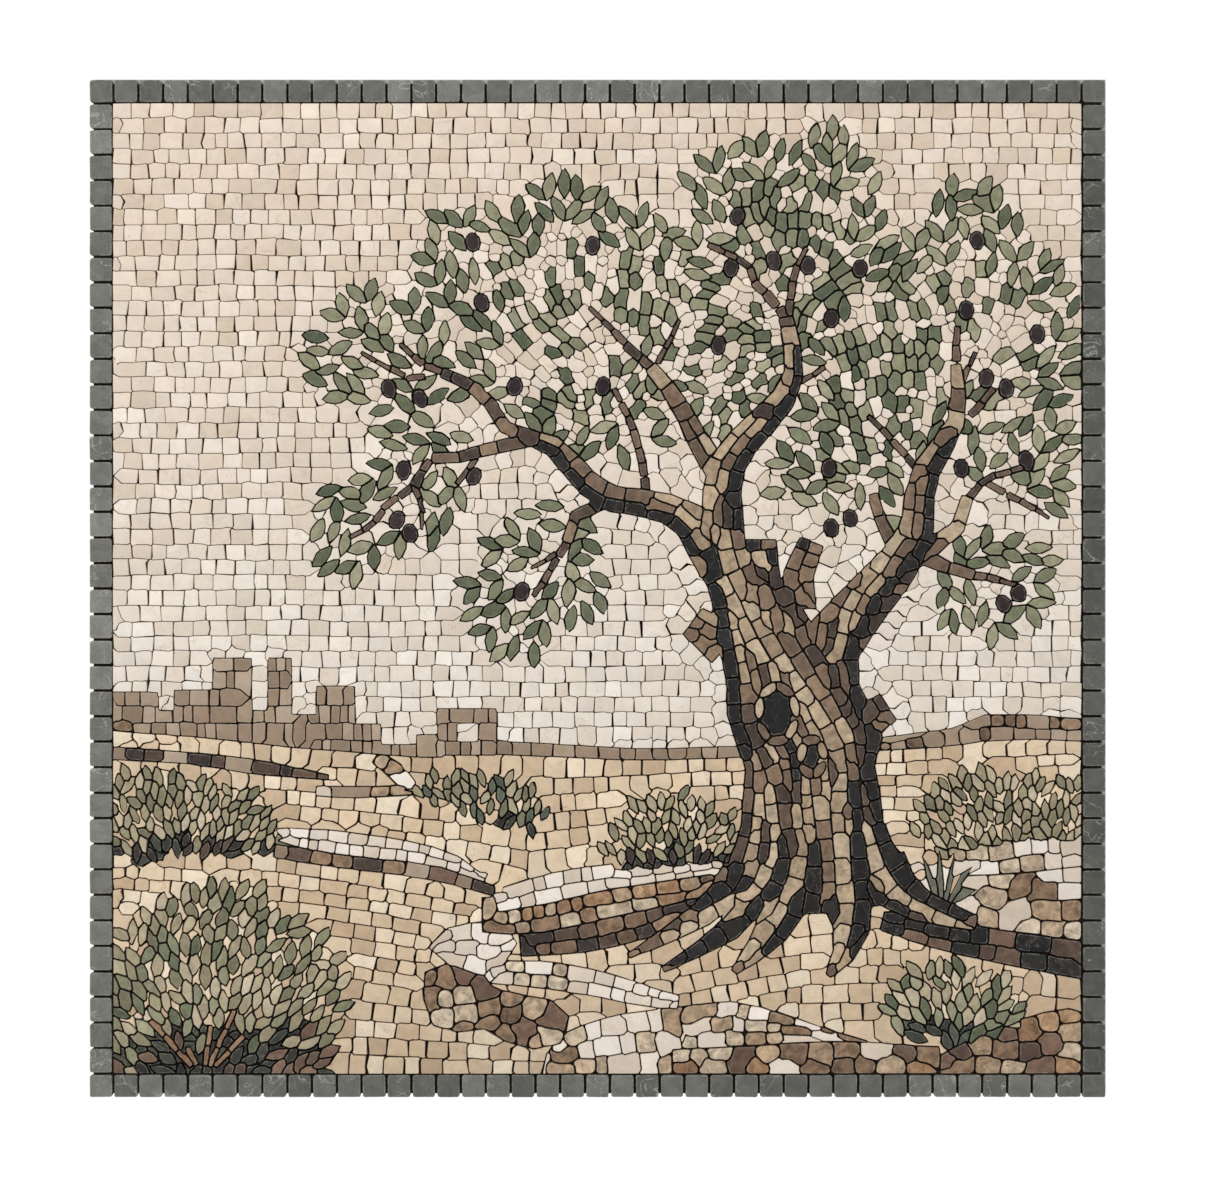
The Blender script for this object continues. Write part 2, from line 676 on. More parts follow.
# %% [markdown]
# Olives are dark ovals beside the twigs, each nipped round by hand. They go in before the leaves,
# which then keep clear of them.

# %% Olives
OLIVES = [
    (300, 256), (276, 286), (307, 296), (360, 140), (369, 200), (291, 368), (361, 374), (284, 418),
    (297, 431), (409, 490), (480, 143), (402, 284), (490, 284), (624, 114), (618, 165), (661, 158),
    (694, 163), (747, 166), (605, 243), (718, 216), (864, 138), (853, 208), (924, 232), (873, 276),
    (893, 286), (913, 358), (848, 366), (890, 502), (905, 491), (718, 426), (737, 416), (716, 366),
]
OLIVE_LONG, OLIVE_WIDE = 5.9, 4.7
for u, v in OLIVES:
    x, z = on_field(u, v)
    turn = math.radians(90 + chance.uniform(-25, 25))
    lay(Stone(x, z, turn, OLIVE_LONG, OLIVE_WIDE, "olive", "oval", 2, 4.0), ["sky"] + CROWNS, 1.0)
print("with olives", len(stones))

# %% [markdown]
# Leaves are pointed lenses. The rim of a crown is found first: the cells of the crown beside the
# sky, and the belt behind them where leaves stand singly.

# %% The rim of a crown
def spread(mask, cells):
    """The mask grown by this many cells to every side."""
    for axis in (0, 1):
        pad = [(cells + 1, cells) if a == axis else (0, 0) for a in (0, 1)]
        total = np.cumsum(np.pad(mask.astype(np.int32), pad), axis=axis)
        n = mask.shape[axis]
        high = np.take(total, np.arange(2 * cells + 1, 2 * cells + 1 + n), axis=axis)
        mask = high - np.take(total, np.arange(n), axis=axis) > 0
    return mask


def cells_in(names):
    return np.argwhere(np.isin(area, [CODE[n] for n in names]))


def shuffled(cells):
    order = list(range(len(cells)))
    chance.shuffle(order)
    return [cells[k] for k in order]


SKY_MASK = area == CODE["sky"]
RIM = spread(SKY_MASK, 1)
NEAR_RIM = spread(SKY_MASK, int(15 / CELL))
print("cells along the rims", int((RIM & ~SKY_MASK).sum()))

# %% [markdown]
# Sprays of leaves stand along each crown's rim, their tips outwards: opposite pairs, and often
# one leaf at the tip. Behind them single leaves each keep a little room, which cream stones fill.

# %% Leaves
LEAF_LONG, LEAF_WIDE = 8.7, 3.9
LEAF_PULL = 2.6  # leaves keep their own outline, and cream stones take the room between them
LEAF_ROOM = 1.72
LEAF_PLOT = 60  # the ground that a single leaf stands for, in square millimetres
TIP_BACK = 2.0  # how far the middle of the tip leaf lies behind the rim
PAIR_BACK, PAIR_STEP = 11.0, 14.0  # the first pair lies this far behind it, and so on inwards
FOOT_TO_MIDDLE = 8.6


def leaf_at(x, z, turn, grow=1.0):
    long = LEAF_LONG * grow * chance.uniform(0.92, 1.1)
    wide = LEAF_WIDE * grow * chance.uniform(0.9, 1.1)
    return Stone(x, z, turn, long, wide, "leaf", "leaf", 1, LEAF_PULL)


def room_for(stone, room):
    return all(other.away(stone.x, stone.z) >= room and stone.away(other.x, other.z) >= room * 0.8
               for other in near(stone.x, stone.z))


def outwards(x, z, root, waver):
    return math.atan2(z - root[1], x - root[0]) + math.radians(chance.gauss(0, waver))


def sprays(crown, root, pairs=2):
    for row, column in shuffled(np.argwhere((area == CODE[crown]) & RIM)):
        x, z = x_of[column], z_of[row]
        heading = outwards(x, z, root, 18)
        c, s = math.cos(heading), math.sin(heading)
        tip = leaf_at(x - TIP_BACK * c, z - TIP_BACK * s, heading)
        if not room_for(tip, 2.3):
            continue
        if chance.random() < 0.5:
            lay(tip, ["sky", crown], 1.6)
        for k in range(pairs):
            back = PAIR_BACK + PAIR_STEP * k
            for side in (-1, 1):
                turn = heading + side * math.radians(chance.uniform(24, 40))
                leaf_x = x - c * back + FOOT_TO_MIDDLE * math.cos(turn)
                leaf_z = z - s * back + FOOT_TO_MIDDLE * math.sin(turn)
                lay(leaf_at(leaf_x, leaf_z, turn), ["sky", crown], 1.6, among=1.5)


def single_leaves(crown, root, share):
    cells = np.argwhere(area == CODE[crown])
    wanted = int(len(cells) * CELL * CELL * share / LEAF_PLOT)
    for _ in range(wanted * 10):
        row, column = cells[chance.randrange(len(cells))]
        x, z = x_of[column], z_of[row]
        lay(leaf_at(x, z, outwards(x, z, root, 40), 0.95), [crown], LEAF_ROOM, among=LEAF_ROOM)


print("a leaf is about", 2 * LEAF_LONG, "by", 2 * LEAF_WIDE, "mm")

# %% [markdown]
# The heart of a crown is laid in fans round the crown's root: short green stones with a few cream
# ones between, as light falls through a tree. Close to the root a fan is small, so each crown
# gets its own root, where its boughs come in.

# %% The heart of a crown
FIRST_RING, LAST_RING = 3.0, 190


def heart_stones(crown, root, green):
    heart = (area == CODE[crown]) & ~NEAR_RIM
    ring = FIRST_RING
    while ring < LAST_RING:
        deep = chance.uniform(10.5, 13.0)
        angle = chance.uniform(0, 0.4)
        while angle < 2 * math.pi:
            wide = chance.uniform(6.0, 7.8)
            angle += wide / ring / 2
            far = ring + 9 * math.sin(3 * angle + ring / 20)
            x, z = root[0] + far * math.cos(angle), root[1] + far * math.sin(angle)
            if in_field(x, z) and heart[cell_of(x, z)]:
                turn = angle + 0.7 * float(SWAY[cell_of(x, z)]) + math.radians(chance.gauss(0, 9))
                kind = "leaf" if chance.random() < green else "sky"
                x, z = x + chance.uniform(-0.8, 0.8), z + chance.uniform(-0.8, 0.8)
                form = "leaf" if kind == "leaf" and chance.random() < 0.45 else "rough"
                long = deep * (0.62 if form == "leaf" else 0.5)
                half = wide * (0.56 if form == "leaf" else 0.5)
                lay(Stone(x, z, turn, long, half, kind, form), [crown], 1.15, among=1.15)
            angle += wide / ring / 2
        ring += deep


CROWN_ROOT = {
    "crown_left": (500, 330), "crown_centre": (680, 250), "crown_right_centre": (790, 400),
    "crown_right": (850, 320), "crown_left_tip": (330, 285), "crown_left_low": (350, 345),
    "spray_left": (458, 425), "crown_right_low": (850, 400), "spray_right": (838, 470),
}
HEART_GREEN = {  # the share of green stones, in the crowns that are large enough for a heart
    "crown_left": 0.54, "crown_centre": 0.66, "crown_right_centre": 0.78, "crown_right": 0.5,
}
SINGLE_SHARE = 0.42
for crown in CROWNS:
    root = on_field(*CROWN_ROOT[crown])
    sprays(crown, root)
    if crown in HEART_GREEN:
        heart_stones(crown, root, HEART_GREEN[crown])
    single_leaves(crown, root, SINGLE_SHARE)
print("with leaves", len(stones))

# %% [markdown]
# Bushes are small copies of the same idea: narrow pointed leaves that spread from a foot, with
# darker stones low down where the bush is in its own shadow.

# %% Bushes
# A foot on the cartoon, the leaves' size, their stones above and the stones of the dark foot
BUSHES_LAID = {
    "bush_upper_left": ((60, 840), 0.92, ["sage", "sage", "leaf_sage"],
                        ["bush_dark", "dark_brown"]),
    "bush_middle": ((380, 800), 0.84, ["leaf_dark", "leaf_sage", "leaf_sage"],
                    ["bush_dark", "leaf_dark"]),
    "bush_by_trunk": ((560, 830), 0.88, ["leaf_sage", "sage"], ["bush_dark", "dark_brown"]),
    "bush_right": ((900, 860), 0.92, ["sage", "sage", "leaf_sage"], ["leaf_sage", "sage"]),
    "bush_lower_left": ((90, 1010), 1.14, ["leaf_sage", "sage", "sage", "leaf"],
                        ["bush_dark", "bush_dark", "brown"]),
    "bush_lower_right": ((838, 958), 1.06, ["leaf", "sage"], ["bush_dark", "leaf_dark"]),
}


STEM_WIDE = 1.7
BUSH_LEAF_PLOT = 45  # the ground that a bush leaf stands for, in square millimetres


def stems(foot, leans, long):
    """Long thin stones that rise from a bush's foot."""
    for lean in leans:
        a = math.radians(90 - lean)
        for step in range(3):
            out = long * (0.55 + step)
            x = foot[0] + lean * 0.16 + math.cos(a) * out
            z = foot[1] + 4 + math.sin(a) * out
            stone = Stone(x, z, a, long * 0.55, STEM_WIDE, "stem", "squared", 2, 6.0)
            if chance.random() < 0.92 - 0.2 * step:
                lay(stone, ["bush_lower_left"], 0.9)


def bush_leaves(bush, tries=26):
    (u, v), big, above, below = BUSHES_LAID[bush]
    foot = on_field(u, v)
    cells = cells_in([bush])
    low, high = z_of[cells[:, 0].min()], z_of[cells[:, 0].max()]
    left, right = x_of[cells[:, 1].min()], x_of[cells[:, 1].max()]
    for _ in range(int(len(cells) * CELL * CELL / BUSH_LEAF_PLOT) * tries):
        row, column = cells[chance.randrange(len(cells))]
        x, z = x_of[column], z_of[row]
        height = (z - low) / (high - low)
        side = abs((x - left) / (right - left) - 0.5) * 0.3
        out = math.atan2(z - foot[1], x - foot[0])
        turn = out + math.radians(chance.gauss(0, 20))
        dark = height + side + chance.gauss(0, 0.07) < 0.24
        kind = chance.choice(below if dark else above)
        long, wide = chance.uniform(6.0, 7.8) * big, chance.uniform(2.7, 3.4) * big
        stone = Stone(x, z, turn, long, wide, kind, "leaf", 1, 2.2)
        lay(stone, [bush], 1.62, among=1.62)


stems(on_field(90, 972), (-42, -24, 8, 24, 44), 12.0)
for bush in BUSHES_LAID:
    bush_leaves(bush)
print("with bushes", len(stones))

# %% [markdown]
# The agave is a fan of long narrow blades from one foot, those in the middle the tallest.

# %% Agave
AGAVE_FOOT = on_field(829, 815)
BLADE_WIDE = 1.7
for lean, tall in ((-34, 26), (-18, 33), (-3, 36), (12, 36), (27, 33), (44, 28), (62, 22)):
    a = math.radians(90 - lean)
    x = AGAVE_FOOT[0] + math.cos(a) * tall * 0.62
    z = AGAVE_FOOT[1] + math.sin(a) * tall * 0.62
    blade = Stone(x, z, a, tall * 0.52, BLADE_WIDE, "agave", "leaf", 2, 6.0)
    lay(blade, ["agave", "sand", "bush_right"], 0.7)
print("with the agave", len(stones))

# %% [markdown]
# Coursed stones lie in rows between two lines of the ground, and the rows bend with them. The
# sky's rows are level. Along the wood the maker first sets one row that follows its outline.

# %% Rows between two lines
def line_height(points, x):
    u = [on_field(p[0], p[1])[0] for p in points]
    z = [on_field(p[0], p[1])[1] for p in points]
    return float(np.interp(x, u, z))


def courses(upper, lower, pitch, length, inside, kinds, wander=0.5, spread=0.14):
    """Rows of squared stones between two lines, wherever the ground is one of these areas."""
    places = np.linspace(field_left, field_right, 30)
    gaps = [line_height(upper, x) - line_height(lower, x) for x in places]
    rows = max(1, round(float(np.mean(gaps)) / pitch))
    for k in range(rows):
        x = field_left - chance.uniform(0, length)
        drift = chance.uniform(0, 6.28)
        while x < field_right + length:
            long = length * max(0.6, chance.gauss(1, spread))
            x += long / 2
            here = min(max(x, field_left), field_right)
            there = min(max(x + 1, field_left), field_right + 1)
            top, low = line_height(upper, here), line_height(lower, here)
            top2, low2 = line_height(upper, there), line_height(lower, there)
            share = (k + 0.5) / rows
            z = top + (low - top) * share + wander * math.sin(x / 23 + drift)
            slope = math.atan2((top2 - top) * (1 - share) + (low2 - low) * share, 1.0)
            turn = slope + math.radians(chance.gauss(0, 1.6))
            wide = (top - low) / rows / 2 * chance.uniform(0.92, 1.08)
            z += chance.uniform(-0.5, 0.5)
            lay(Stone(x, z, turn, long / 2, wide, chance.choice(kinds)), inside, 1.3)
            x += long / 2


def outline_row(names, inside, away, length, kind):
    """One row of stones along the outside of these areas, laid against them."""
    mask = np.isin(area, [CODE[n] for n in names])
    steps = int(away / CELL)
    last = spread(mask, steps - 1)
    ring = np.argwhere(spread(mask, steps) & ~last & np.isin(area, [CODE[n] for n in inside]))
    for row, column in shuffled(ring):
        x, z = x_of[column], z_of[row]
        r0, r1 = max(row - 16, 0), min(row + 17, ROWS)
        c0, c1 = max(column - 16, 0), min(column + 17, COLUMNS)
        close = np.argwhere(mask[r0:r1, c0:c1])
        if len(close) < 4:
            continue
        away_from = close.mean(axis=0) + (r0, c0)
        turn = math.atan2(row - away_from[0], column - away_from[1]) + math.pi / 2
        stone = Stone(x, z, turn, length / 2 * chance.uniform(0.85, 1.15), away * 0.9, kind)
        lay(stone, inside, 1.5, among=1.5)


print("the field is", round(field_right - field_left), "mm wide")

# %% [markdown]
# The lines of the ground, from the horizon down, on the cartoon. The rows of the sky are level,
# those of the sand bend from one line to the next, and the horizon rises at the right in two
# thin rows.

# %% Sky, sand, ruins and horizon
TOP_LINE = [(0, 0), (969, 0)]
SKYLINE = [(0, 656), (969, 656)]
HORIZON = [(0, 636), (150, 645), (303, 656), (460, 657), (640, 657), (768, 650), (969, 638)]
SLOPE = [(0, 752), (162, 756), (284, 775), (372, 792), (420, 806), (490, 790), (616, 762),
         (760, 742), (838, 748), (969, 736)]
FORE = [(0, 850), (200, 872), (320, 892), (450, 912), (560, 912), (690, 885), (800, 880),
        (969, 900)]
FOOT = [(0, 973), (969, 973)]

outline_row(TREE, ["sky"], 4.6, 10.5, "sky")
courses(TOP_LINE, SKYLINE, 9.15, 11.3, ["sky"], ["sky"], wander=0.45)
courses(HORIZON, SLOPE, 8.6, 12.0, ["sand"], ["sand"], wander=0.8)
courses(SLOPE, FORE, 9.4, 12.5, ["sand"], ["sand"], wander=0.8)
courses(FORE, FOOT, 9.6, 12.5, ["sand"], ["sand"], wander=0.8)
courses([(0, 552), (969, 552)], SKYLINE, 10.6, 8.6, ["ruins", "gate_ruin"], ["taupe"], wander=0.2,
        spread=0.34)
courses([(0, 640), (460, 642), (640, 644)], [(0, 656), (460, 656), (640, 656)], 9.0, 11.5,
        ["horizon_left"], ["taupe"], wander=0.2)
courses([(760, 637), (800, 626), (873, 613), (969, 617)], [(760, 650), (873, 638), (969, 640)],
        5.4, 10.5, ["horizon_right"], ["taupe", "taupe", "brown_rock"], wander=0.2, spread=0.3)
print("with courses", len(stones))

# %% [markdown]
# Ledges, walls and rocks are laid in rough courses between each area's own upper and lower edge,
# as a dry wall is.

# %% Rough courses
def masonry(name, pitch, length, kinds, spread_of=0.22):
    mask = area == CODE[name]
    used = np.nonzero(mask.any(axis=0))[0]
    top = np.array([z_of[np.nonzero(mask[:, c])[0].max()] for c in used])
    low = np.array([z_of[np.nonzero(mask[:, c])[0].min()] for c in used])
    rows = max(1, round(float(np.median(top - low)) / pitch))
    for k in range(rows):
        share = (k + 0.5) / rows
        line = top + (low - top) * share
        x = x_of[used[0]] - chance.uniform(0, 0.6) * length
        while x < x_of[used[-1]] + length / 2:
            long = length * max(0.55, chance.gauss(1, spread_of))
            x += long / 2
            i = int(np.clip((x - x_of[used[0]]) / CELL, 0, len(used) - 1))
            i0, i1 = max(0, i - 14), min(len(used) - 1, i + 14)
            turn = math.atan2(line[i1] - line[i0], max(1.0, (used[i1] - used[i0]) * CELL))
            turn += math.radians(chance.gauss(0, 4 if spread_of < 0.3 else 9))
            wide = min(max((top[i] - low[i]) / rows / 2, 2.2), pitch * 0.7)
            wide *= chance.uniform(0.88, 1.12)
            z = line[i] + chance.uniform(-0.08, 0.08) * pitch
            lay(Stone(x, z, turn, long / 2, wide, chance.choice(kinds)), [name], 1.2)
            x += long / 2


COURSED = {
    "wall_top": (6.4, 10.0, ["cream_rock"]),
    "wall_foot": (7.0, 12.0, ["brown", "dark_brown", "taupe", "brown_rock"]),
    "dark_course_left": (7.0, 12.5, ["brown", "taupe", "dark_brown"]),
    "ledge_left": (6.2, 14.0, ["cream_rock", "taupe"]),
    "ledge_upper": (7.4, 12.0, ["cream_rock"]),
    "ledge_lower": (7.6, 12.5, ["cream_rock"]),
    "path": (7.6, 12.0, ["cream_rock", "cream_rock", "rock_light"]),
    "bank_tan": (9.6, 12.5, ["rock", "brown_rock", "rock_light", "rock_rust"]),
    "bank_dark": (8.2, 12.5, ["brown", "dark_brown", "brown_rock"]),
    "terrace_front": (8.8, 12.5, ["cream_rock", "cream_rock", "rock_light", "cream_rock", "rock"]),
    "terrace_right": (8.4, 12.0, ["cream_rock", "cream_rock", "rock_light"]),
    "root_course": (9.4, 14.0, ["brown", "dark_brown", "black"]),
}
ROUGHEST = ("bank_tan", "terrace_front")
for name, (pitch, length, kinds) in COURSED.items():
    masonry(name, pitch, length, kinds, 0.34 if name in ROUGHEST else 0.22)
print("with rough courses", len(stones))

# %% [markdown]
# Rubble has no courses: its stones are dropped in wherever there is room. In the same way small
# loose stones fill the gaps between leaves, and what is left anywhere else.

# %% Loose stones
def loose(names, long, wide, kinds, tries=40, room=1.55, lean=9.0, sway=0.0):
    cells = cells_in(names)
    wanted = max(3, int(len(cells) * CELL * CELL / (long * wide * 3.4)))
    for _ in range(wanted * tries):
        row, column = cells[chance.randrange(len(cells))]
        x, z = x_of[column], z_of[row]
        turn = sway * float(SWAY[row, column]) + math.radians(chance.gauss(0, lean))
        grow = chance.uniform(0.85, 1.2)
        stone = Stone(x, z, turn, long * grow, wide * grow, chance.choice(kinds), "rough")
        lay(stone, names, room, among=room)


def bush_fill(tries=22):
    """Between the leaves of a bush: sand-coloured stones above and dark ones at its foot."""
    for bush, (_, _, _, below) in BUSHES_LAID.items():
        cells = cells_in([bush])
        low, high = z_of[cells[:, 0].min()], z_of[cells[:, 0].max()]
        for _ in range(int(len(cells) * CELL * CELL / BUSH_LEAF_PLOT) * tries):
            row, column = cells[chance.randrange(len(cells))]
            x, z = x_of[column], z_of[row]
            dark = "bush_dark" in below and (z - low) / (high - low) < 0.26
            kind = "bush_dark" if dark else "sand"
            stone = Stone(x, z, chance.uniform(0, 3.1), 3.4, 2.5, kind, "rough")
            lay(stone, [bush], 1.25, among=1.25)


loose(["boulders"], 6.6, 5.4, ["rock", "brown_rock", "rock_light", "brown"], lean=40)
loose(["rocks_front"], 7.0, 5.2,
      ["rock", "brown_rock", "brown", "rock_light", "cream_rock", "rock_rust"], lean=22)
loose(["rocks_right"], 7.4, 5.4,
      ["rock", "rock_light", "rock_light", "cream_rock", "brown_rock"], lean=16)
loose(["rocks_lower_right"], 6.8, 5.2,
      ["rock", "brown_rock", "brown", "rock_rust", "rock_light"], lean=16)
loose(["sky"] + CROWNS, 5.0, 3.8, ["sky"], tries=24, room=1.5, lean=14, sway=1.1)
loose(CROWNS, 3.4, 2.7, ["sky"], tries=16, room=1.22, lean=30, sway=1.1)
bush_fill()
loose(["agave"], 3.6, 3.0, ["cream_rock", "sand"], tries=60, room=1.3, lean=40)
loose(["sand"], 5.0, 4.2, ["sand"], tries=14, room=1.62)
loose(TREE, 4.6, 3.4, ["bark_brown", "bark_dark"], tries=10, room=1.7)
others = [a for a in AREAS if a not in TREE + BUSHES + CROWNS + ["sand", "sky"]]
loose(others, 5.0, 4.0, ["rock"], 8, 1.75)
print("all stones", len(stones))

# %% [markdown]
# Now the stones are cut to each other. Every cell of the grid goes to the stone whose edge it
# lies deepest in, within its own group. Loose stones then move to the middle of what they won,
# scraps are handed on, and the cut is made again.

# %% Cut the pattern
GROUP_CODE = {g: i for i, g in enumerate(GROUPS)}
REACH = 2.4


def cut_pattern(list_of_stones):
    best = np.full((ROWS, COLUMNS), np.inf, dtype=np.float32)
    owner = np.full((ROWS, COLUMNS), -1, dtype=np.int32)
    for i, stone in enumerate(list_of_stones):
        reach = REACH * max(stone.long, stone.wide)
        row, column = cell_of(stone.x, stone.z)
        span = int(reach / CELL)
        rows = slice(max(row - span, 0), min(row + span + 1, ROWS))
        columns = slice(max(column - span, 0), min(column + span + 1, COLUMNS))
        away = stone.away(x_worn[rows, columns], z_worn[rows, columns])
        score = away * stone.pull
        if stone.rank:
            score = np.where(away < 1, away - 10 * stone.rank, score)
        wins = (score < best[rows, columns]) & (group[rows, columns] == GROUP_CODE[stone.group])
        best[rows, columns][wins] = score[wins]
        owner[rows, columns][wins] = i
    return owner


def connected(owner, list_of_stones):
    """True for the cells of each stone that hang together with its middle."""
    linked = np.zeros(owner.shape, dtype=bool)
    for i, stone in enumerate(list_of_stones):
        row, column = cell_of(stone.x, stone.z)
        r0, c0 = max(row - 3, 0), max(column - 3, 0)
        patch = owner[r0:row + 4, c0:column + 4] == i
        linked[r0:row + 4, c0:column + 4] |= patch
    for _ in range(80):
        before = linked.sum()
        held = np.where(linked, owner, -1)
        for moved in neighbours(held):
            linked |= (moved == owner) & (owner >= 0)
        if linked.sum() == before:
            break
    return linked


def hand_on_scraps(owner, list_of_stones):
    linked = connected(owner, list_of_stones)
    owner = np.where(linked, owner, EMPTY)
    for _ in range(60):
        if not (owner == EMPTY).any():
            break
        for axis, step in SIDES:
            moved = np.roll(owner, step, axis=axis)
            same = np.roll(group, step, axis=axis) == group
            take = (owner == EMPTY) & (moved != EMPTY) & same
            owner[take] = moved[take]
    return owner


print("stones to cut", len(stones))

# %% [markdown]
# The cut is made three times. After each of the first two, stones that won too little are left
# out, and the rough ones move to the middle of what they won, which evens them out.

# %% Settle the stones
SMALLEST = {"leaf": 15.0, "oval": 20.0, "squared": 20.0, "rough": 15.0}  # square millimetres
PASSES = 2
for number in range(PASSES):
    owner = hand_on_scraps(cut_pattern(stones), stones)
    flat = owner.ravel()
    held = flat != EMPTY
    total = np.bincount(flat[held], minlength=len(stones)).clip(1)
    grid_x = np.broadcast_to(x_of[None, :], owner.shape).ravel()[held]
    grid_z = np.broadcast_to(z_of[:, None], owner.shape).ravel()[held]
    mid_x = np.bincount(flat[held], grid_x, minlength=len(stones)) / total
    mid_z = np.bincount(flat[held], grid_z, minlength=len(stones)) / total
    kept = []
    for i, stone in enumerate(stones):
        if total[i] * CELL * CELL < SMALLEST[stone.form] * (0.5 if stone.rank == 2 else 1.0):
            continue
        if stone.form == "rough":
            stone.x, stone.z = float(mid_x[i]), float(mid_z[i])
        kept.append(stone)
    print("pass", number + 1, "stones", len(stones), "kept", len(kept))
    stones = kept
owner = hand_on_scraps(cut_pattern(stones), stones)

# %% [markdown]
# The cells give every stone a stepped outline. First each side of a cell between two stones is
# listed, with the stone on its left. A point of the grid where three or more such sides meet is
# a corner of the pattern.

# %% Edges of the stones
def cell_edges(owner):
    """Directed edges round every stone, with the stone on the left: stone, start, end."""
    padded = np.full((ROWS + 2, COLUMNS + 2), -1, dtype=np.int32)
    padded[1:-1, 1:-1] = owner
    wide = COLUMNS + 1
    r, c = np.indices(owner.shape)
    corner = {
        "low_left": r * wide + c, "low_right": r * wide + c + 1,
        "high_right": (r + 1) * wide + c + 1, "high_left": (r + 1) * wide + c,
    }
    sides = [
        (padded[:-2, 1:-1], "low_left", "low_right"), (padded[1:-1, 2:], "low_right", "high_right"),
        (padded[2:, 1:-1], "high_right", "high_left"), (padded[1:-1, :-2], "high_left", "low_left"),
    ]
    parts = []
    for beside, start, end in sides:
        differs = (owner != beside) & (owner >= 0)
        columns = [owner[differs], corner[start][differs], corner[end][differs]]
        parts.append(np.stack(columns, axis=1))
    level = padded[:-1, 1:-1] != padded[1:, 1:-1]
    upright = padded[1:-1, :-1] != padded[1:-1, 1:]
    degree = np.zeros((ROWS + 1, wide), dtype=np.int8)
    degree[:, :-1] += level
    degree[:, 1:] += level
    degree[:-1] += upright
    degree[1:] += upright
    edges = np.concatenate(parts)
    return edges[np.argsort(edges[:, 0], kind="stable")], (degree >= 3).ravel()


def place_of(point):
    return field_left + (point % (COLUMNS + 1)) * CELL, field_low + (point // (COLUMNS + 1)) * CELL


print("the grid has", (COLUMNS + 1) * (ROWS + 1), "points")

# %% [markdown]
# The sides of one stone are then joined to a ring. A stone may touch itself at a point, and there
# the ring turns left, so that it stays with the stone.

# %% Rings round the stones
def longest_ring(pairs, is_corner):
    """The outer ring of one stone, as grid points."""
    after = {}
    for start, end in pairs:
        after.setdefault(start, []).append(end)
    rings = []
    while after:
        corners = [p for p in after if is_corner[p]]
        first = corners[0] if corners else next(iter(after))
        ring, point, heading = [first], first, 0
        while True:
            choices = after[point]
            step = choices[0]
            if len(choices) == 2:
                lefts = {1: COLUMNS + 1, COLUMNS + 1: -1, -1: -COLUMNS - 1, -COLUMNS - 1: 1}
                if choices[1] - point == lefts.get(heading):
                    step = choices[1]
            choices.remove(step)
            if not choices:
                del after[point]
            heading = step - point
            point = step
            if point == first:
                break
            ring.append(point)
        rings.append(ring)
    return max(rings, key=len)


one_cell = [(0, 1), (1, 3), (3, 2), (2, 0)]
print("a single cell has", len(longest_ring(one_cell, [False] * 4)), "corners")

# %% [markdown]
# Between two corners of the pattern both neighbours share one line. It is smoothed and
# straightened once and used by both, so the joint between two stones keeps an even width.

# %% Straighten the shared lines
STRAIGHTEN = 0.34  # a cut edge wanders less than this from its line, in millimetres
NO_LENGTH = 1e-6


def straightened(path):
    """Keeps the few points of a line that the whole line needs."""
    keep = [0, len(path) - 1]
    spans = [(0, len(path) - 1)]
    while spans:
        a, b = spans.pop()
        if b - a < 2:
            continue
        start, chord = path[a], path[b] - path[a]
        off = path[a + 1:b] - start
        length = math.hypot(chord[0], chord[1])
        if length < NO_LENGTH:
            far = np.hypot(off[:, 0], off[:, 1])
        else:
            far = np.abs(off[:, 0] * chord[1] - off[:, 1] * chord[0]) / length
        worst = int(np.argmax(far))
        if far[worst] > STRAIGHTEN:
            middle = a + 1 + worst
            keep.append(middle)
            spans += [(a, middle), (middle, b)]
    return path[sorted(keep)]


def shared_line(points, known):
    key = (points[0], points[1])
    if key not in known:
        path = np.array([place_of(p) for p in points])
        for _ in range(3):
            if len(path) > 2:
                path[1:-1] = (path[:-2] + 2 * path[1:-1] + path[2:]) / 4
        line = straightened(path)
        known[key] = line
        known[(points[-1], points[-2])] = line[::-1]
    return known[key]


def outlines(owner, count):
    """One outline a stone, as a list of points, corner to corner along the shared lines."""
    edges, is_corner = cell_edges(owner)
    bounds_of = np.searchsorted(edges[:, 0], np.arange(count + 1))
    known = {}
    found = []
    for i in range(count):
        pairs = edges[bounds_of[i]:bounds_of[i + 1], 1:].tolist()
        if not pairs:
            found.append(None)
            continue
        ring = longest_ring(pairs, is_corner)
        breaks = [k for k, p in enumerate(ring) if is_corner[p]] or [0, len(ring) // 2]
        outline = []
        for k, at in enumerate(breaks):
            to = breaks[(k + 1) % len(breaks)]
            part = ring[at:to + 1] if to > at else ring[at:] + ring[:to + 1]
            outline.extend(shared_line(part, known)[:-1])
        found.append(np.array(outline))
    return found


shapes = outlines(owner, len(stones))
drawn = [s for s in shapes if s is not None]
print("outlines", len(drawn), "points", sum(len(s) for s in drawn))

# %% [markdown]
# To open the joints, each outline is drawn in by half a joint. Short edges are joined first, and
# edges that the gap swallows are dropped, so that no outline turns inside out.

# %% Draw an outline in
def signed_area(p):
    q = np.roll(p, -1, axis=0)
    return 0.5 * float(np.sum(p[:, 0] * q[:, 1] - q[:, 0] * p[:, 1]))


def without_short_edges(p, shortest):
    while len(p) > 4:
        edge = np.roll(p, -1, axis=0) - p
        length = np.hypot(edge[:, 0], edge[:, 1])
        k = int(np.argmin(length))
        if length[k] >= shortest:
            break
        n = len(p)
        p = p.copy()
        p[k] = (p[k] + p[(k + 1) % n]) / 2
        p = np.delete(p, (k + 1) % n, axis=0)
    return p


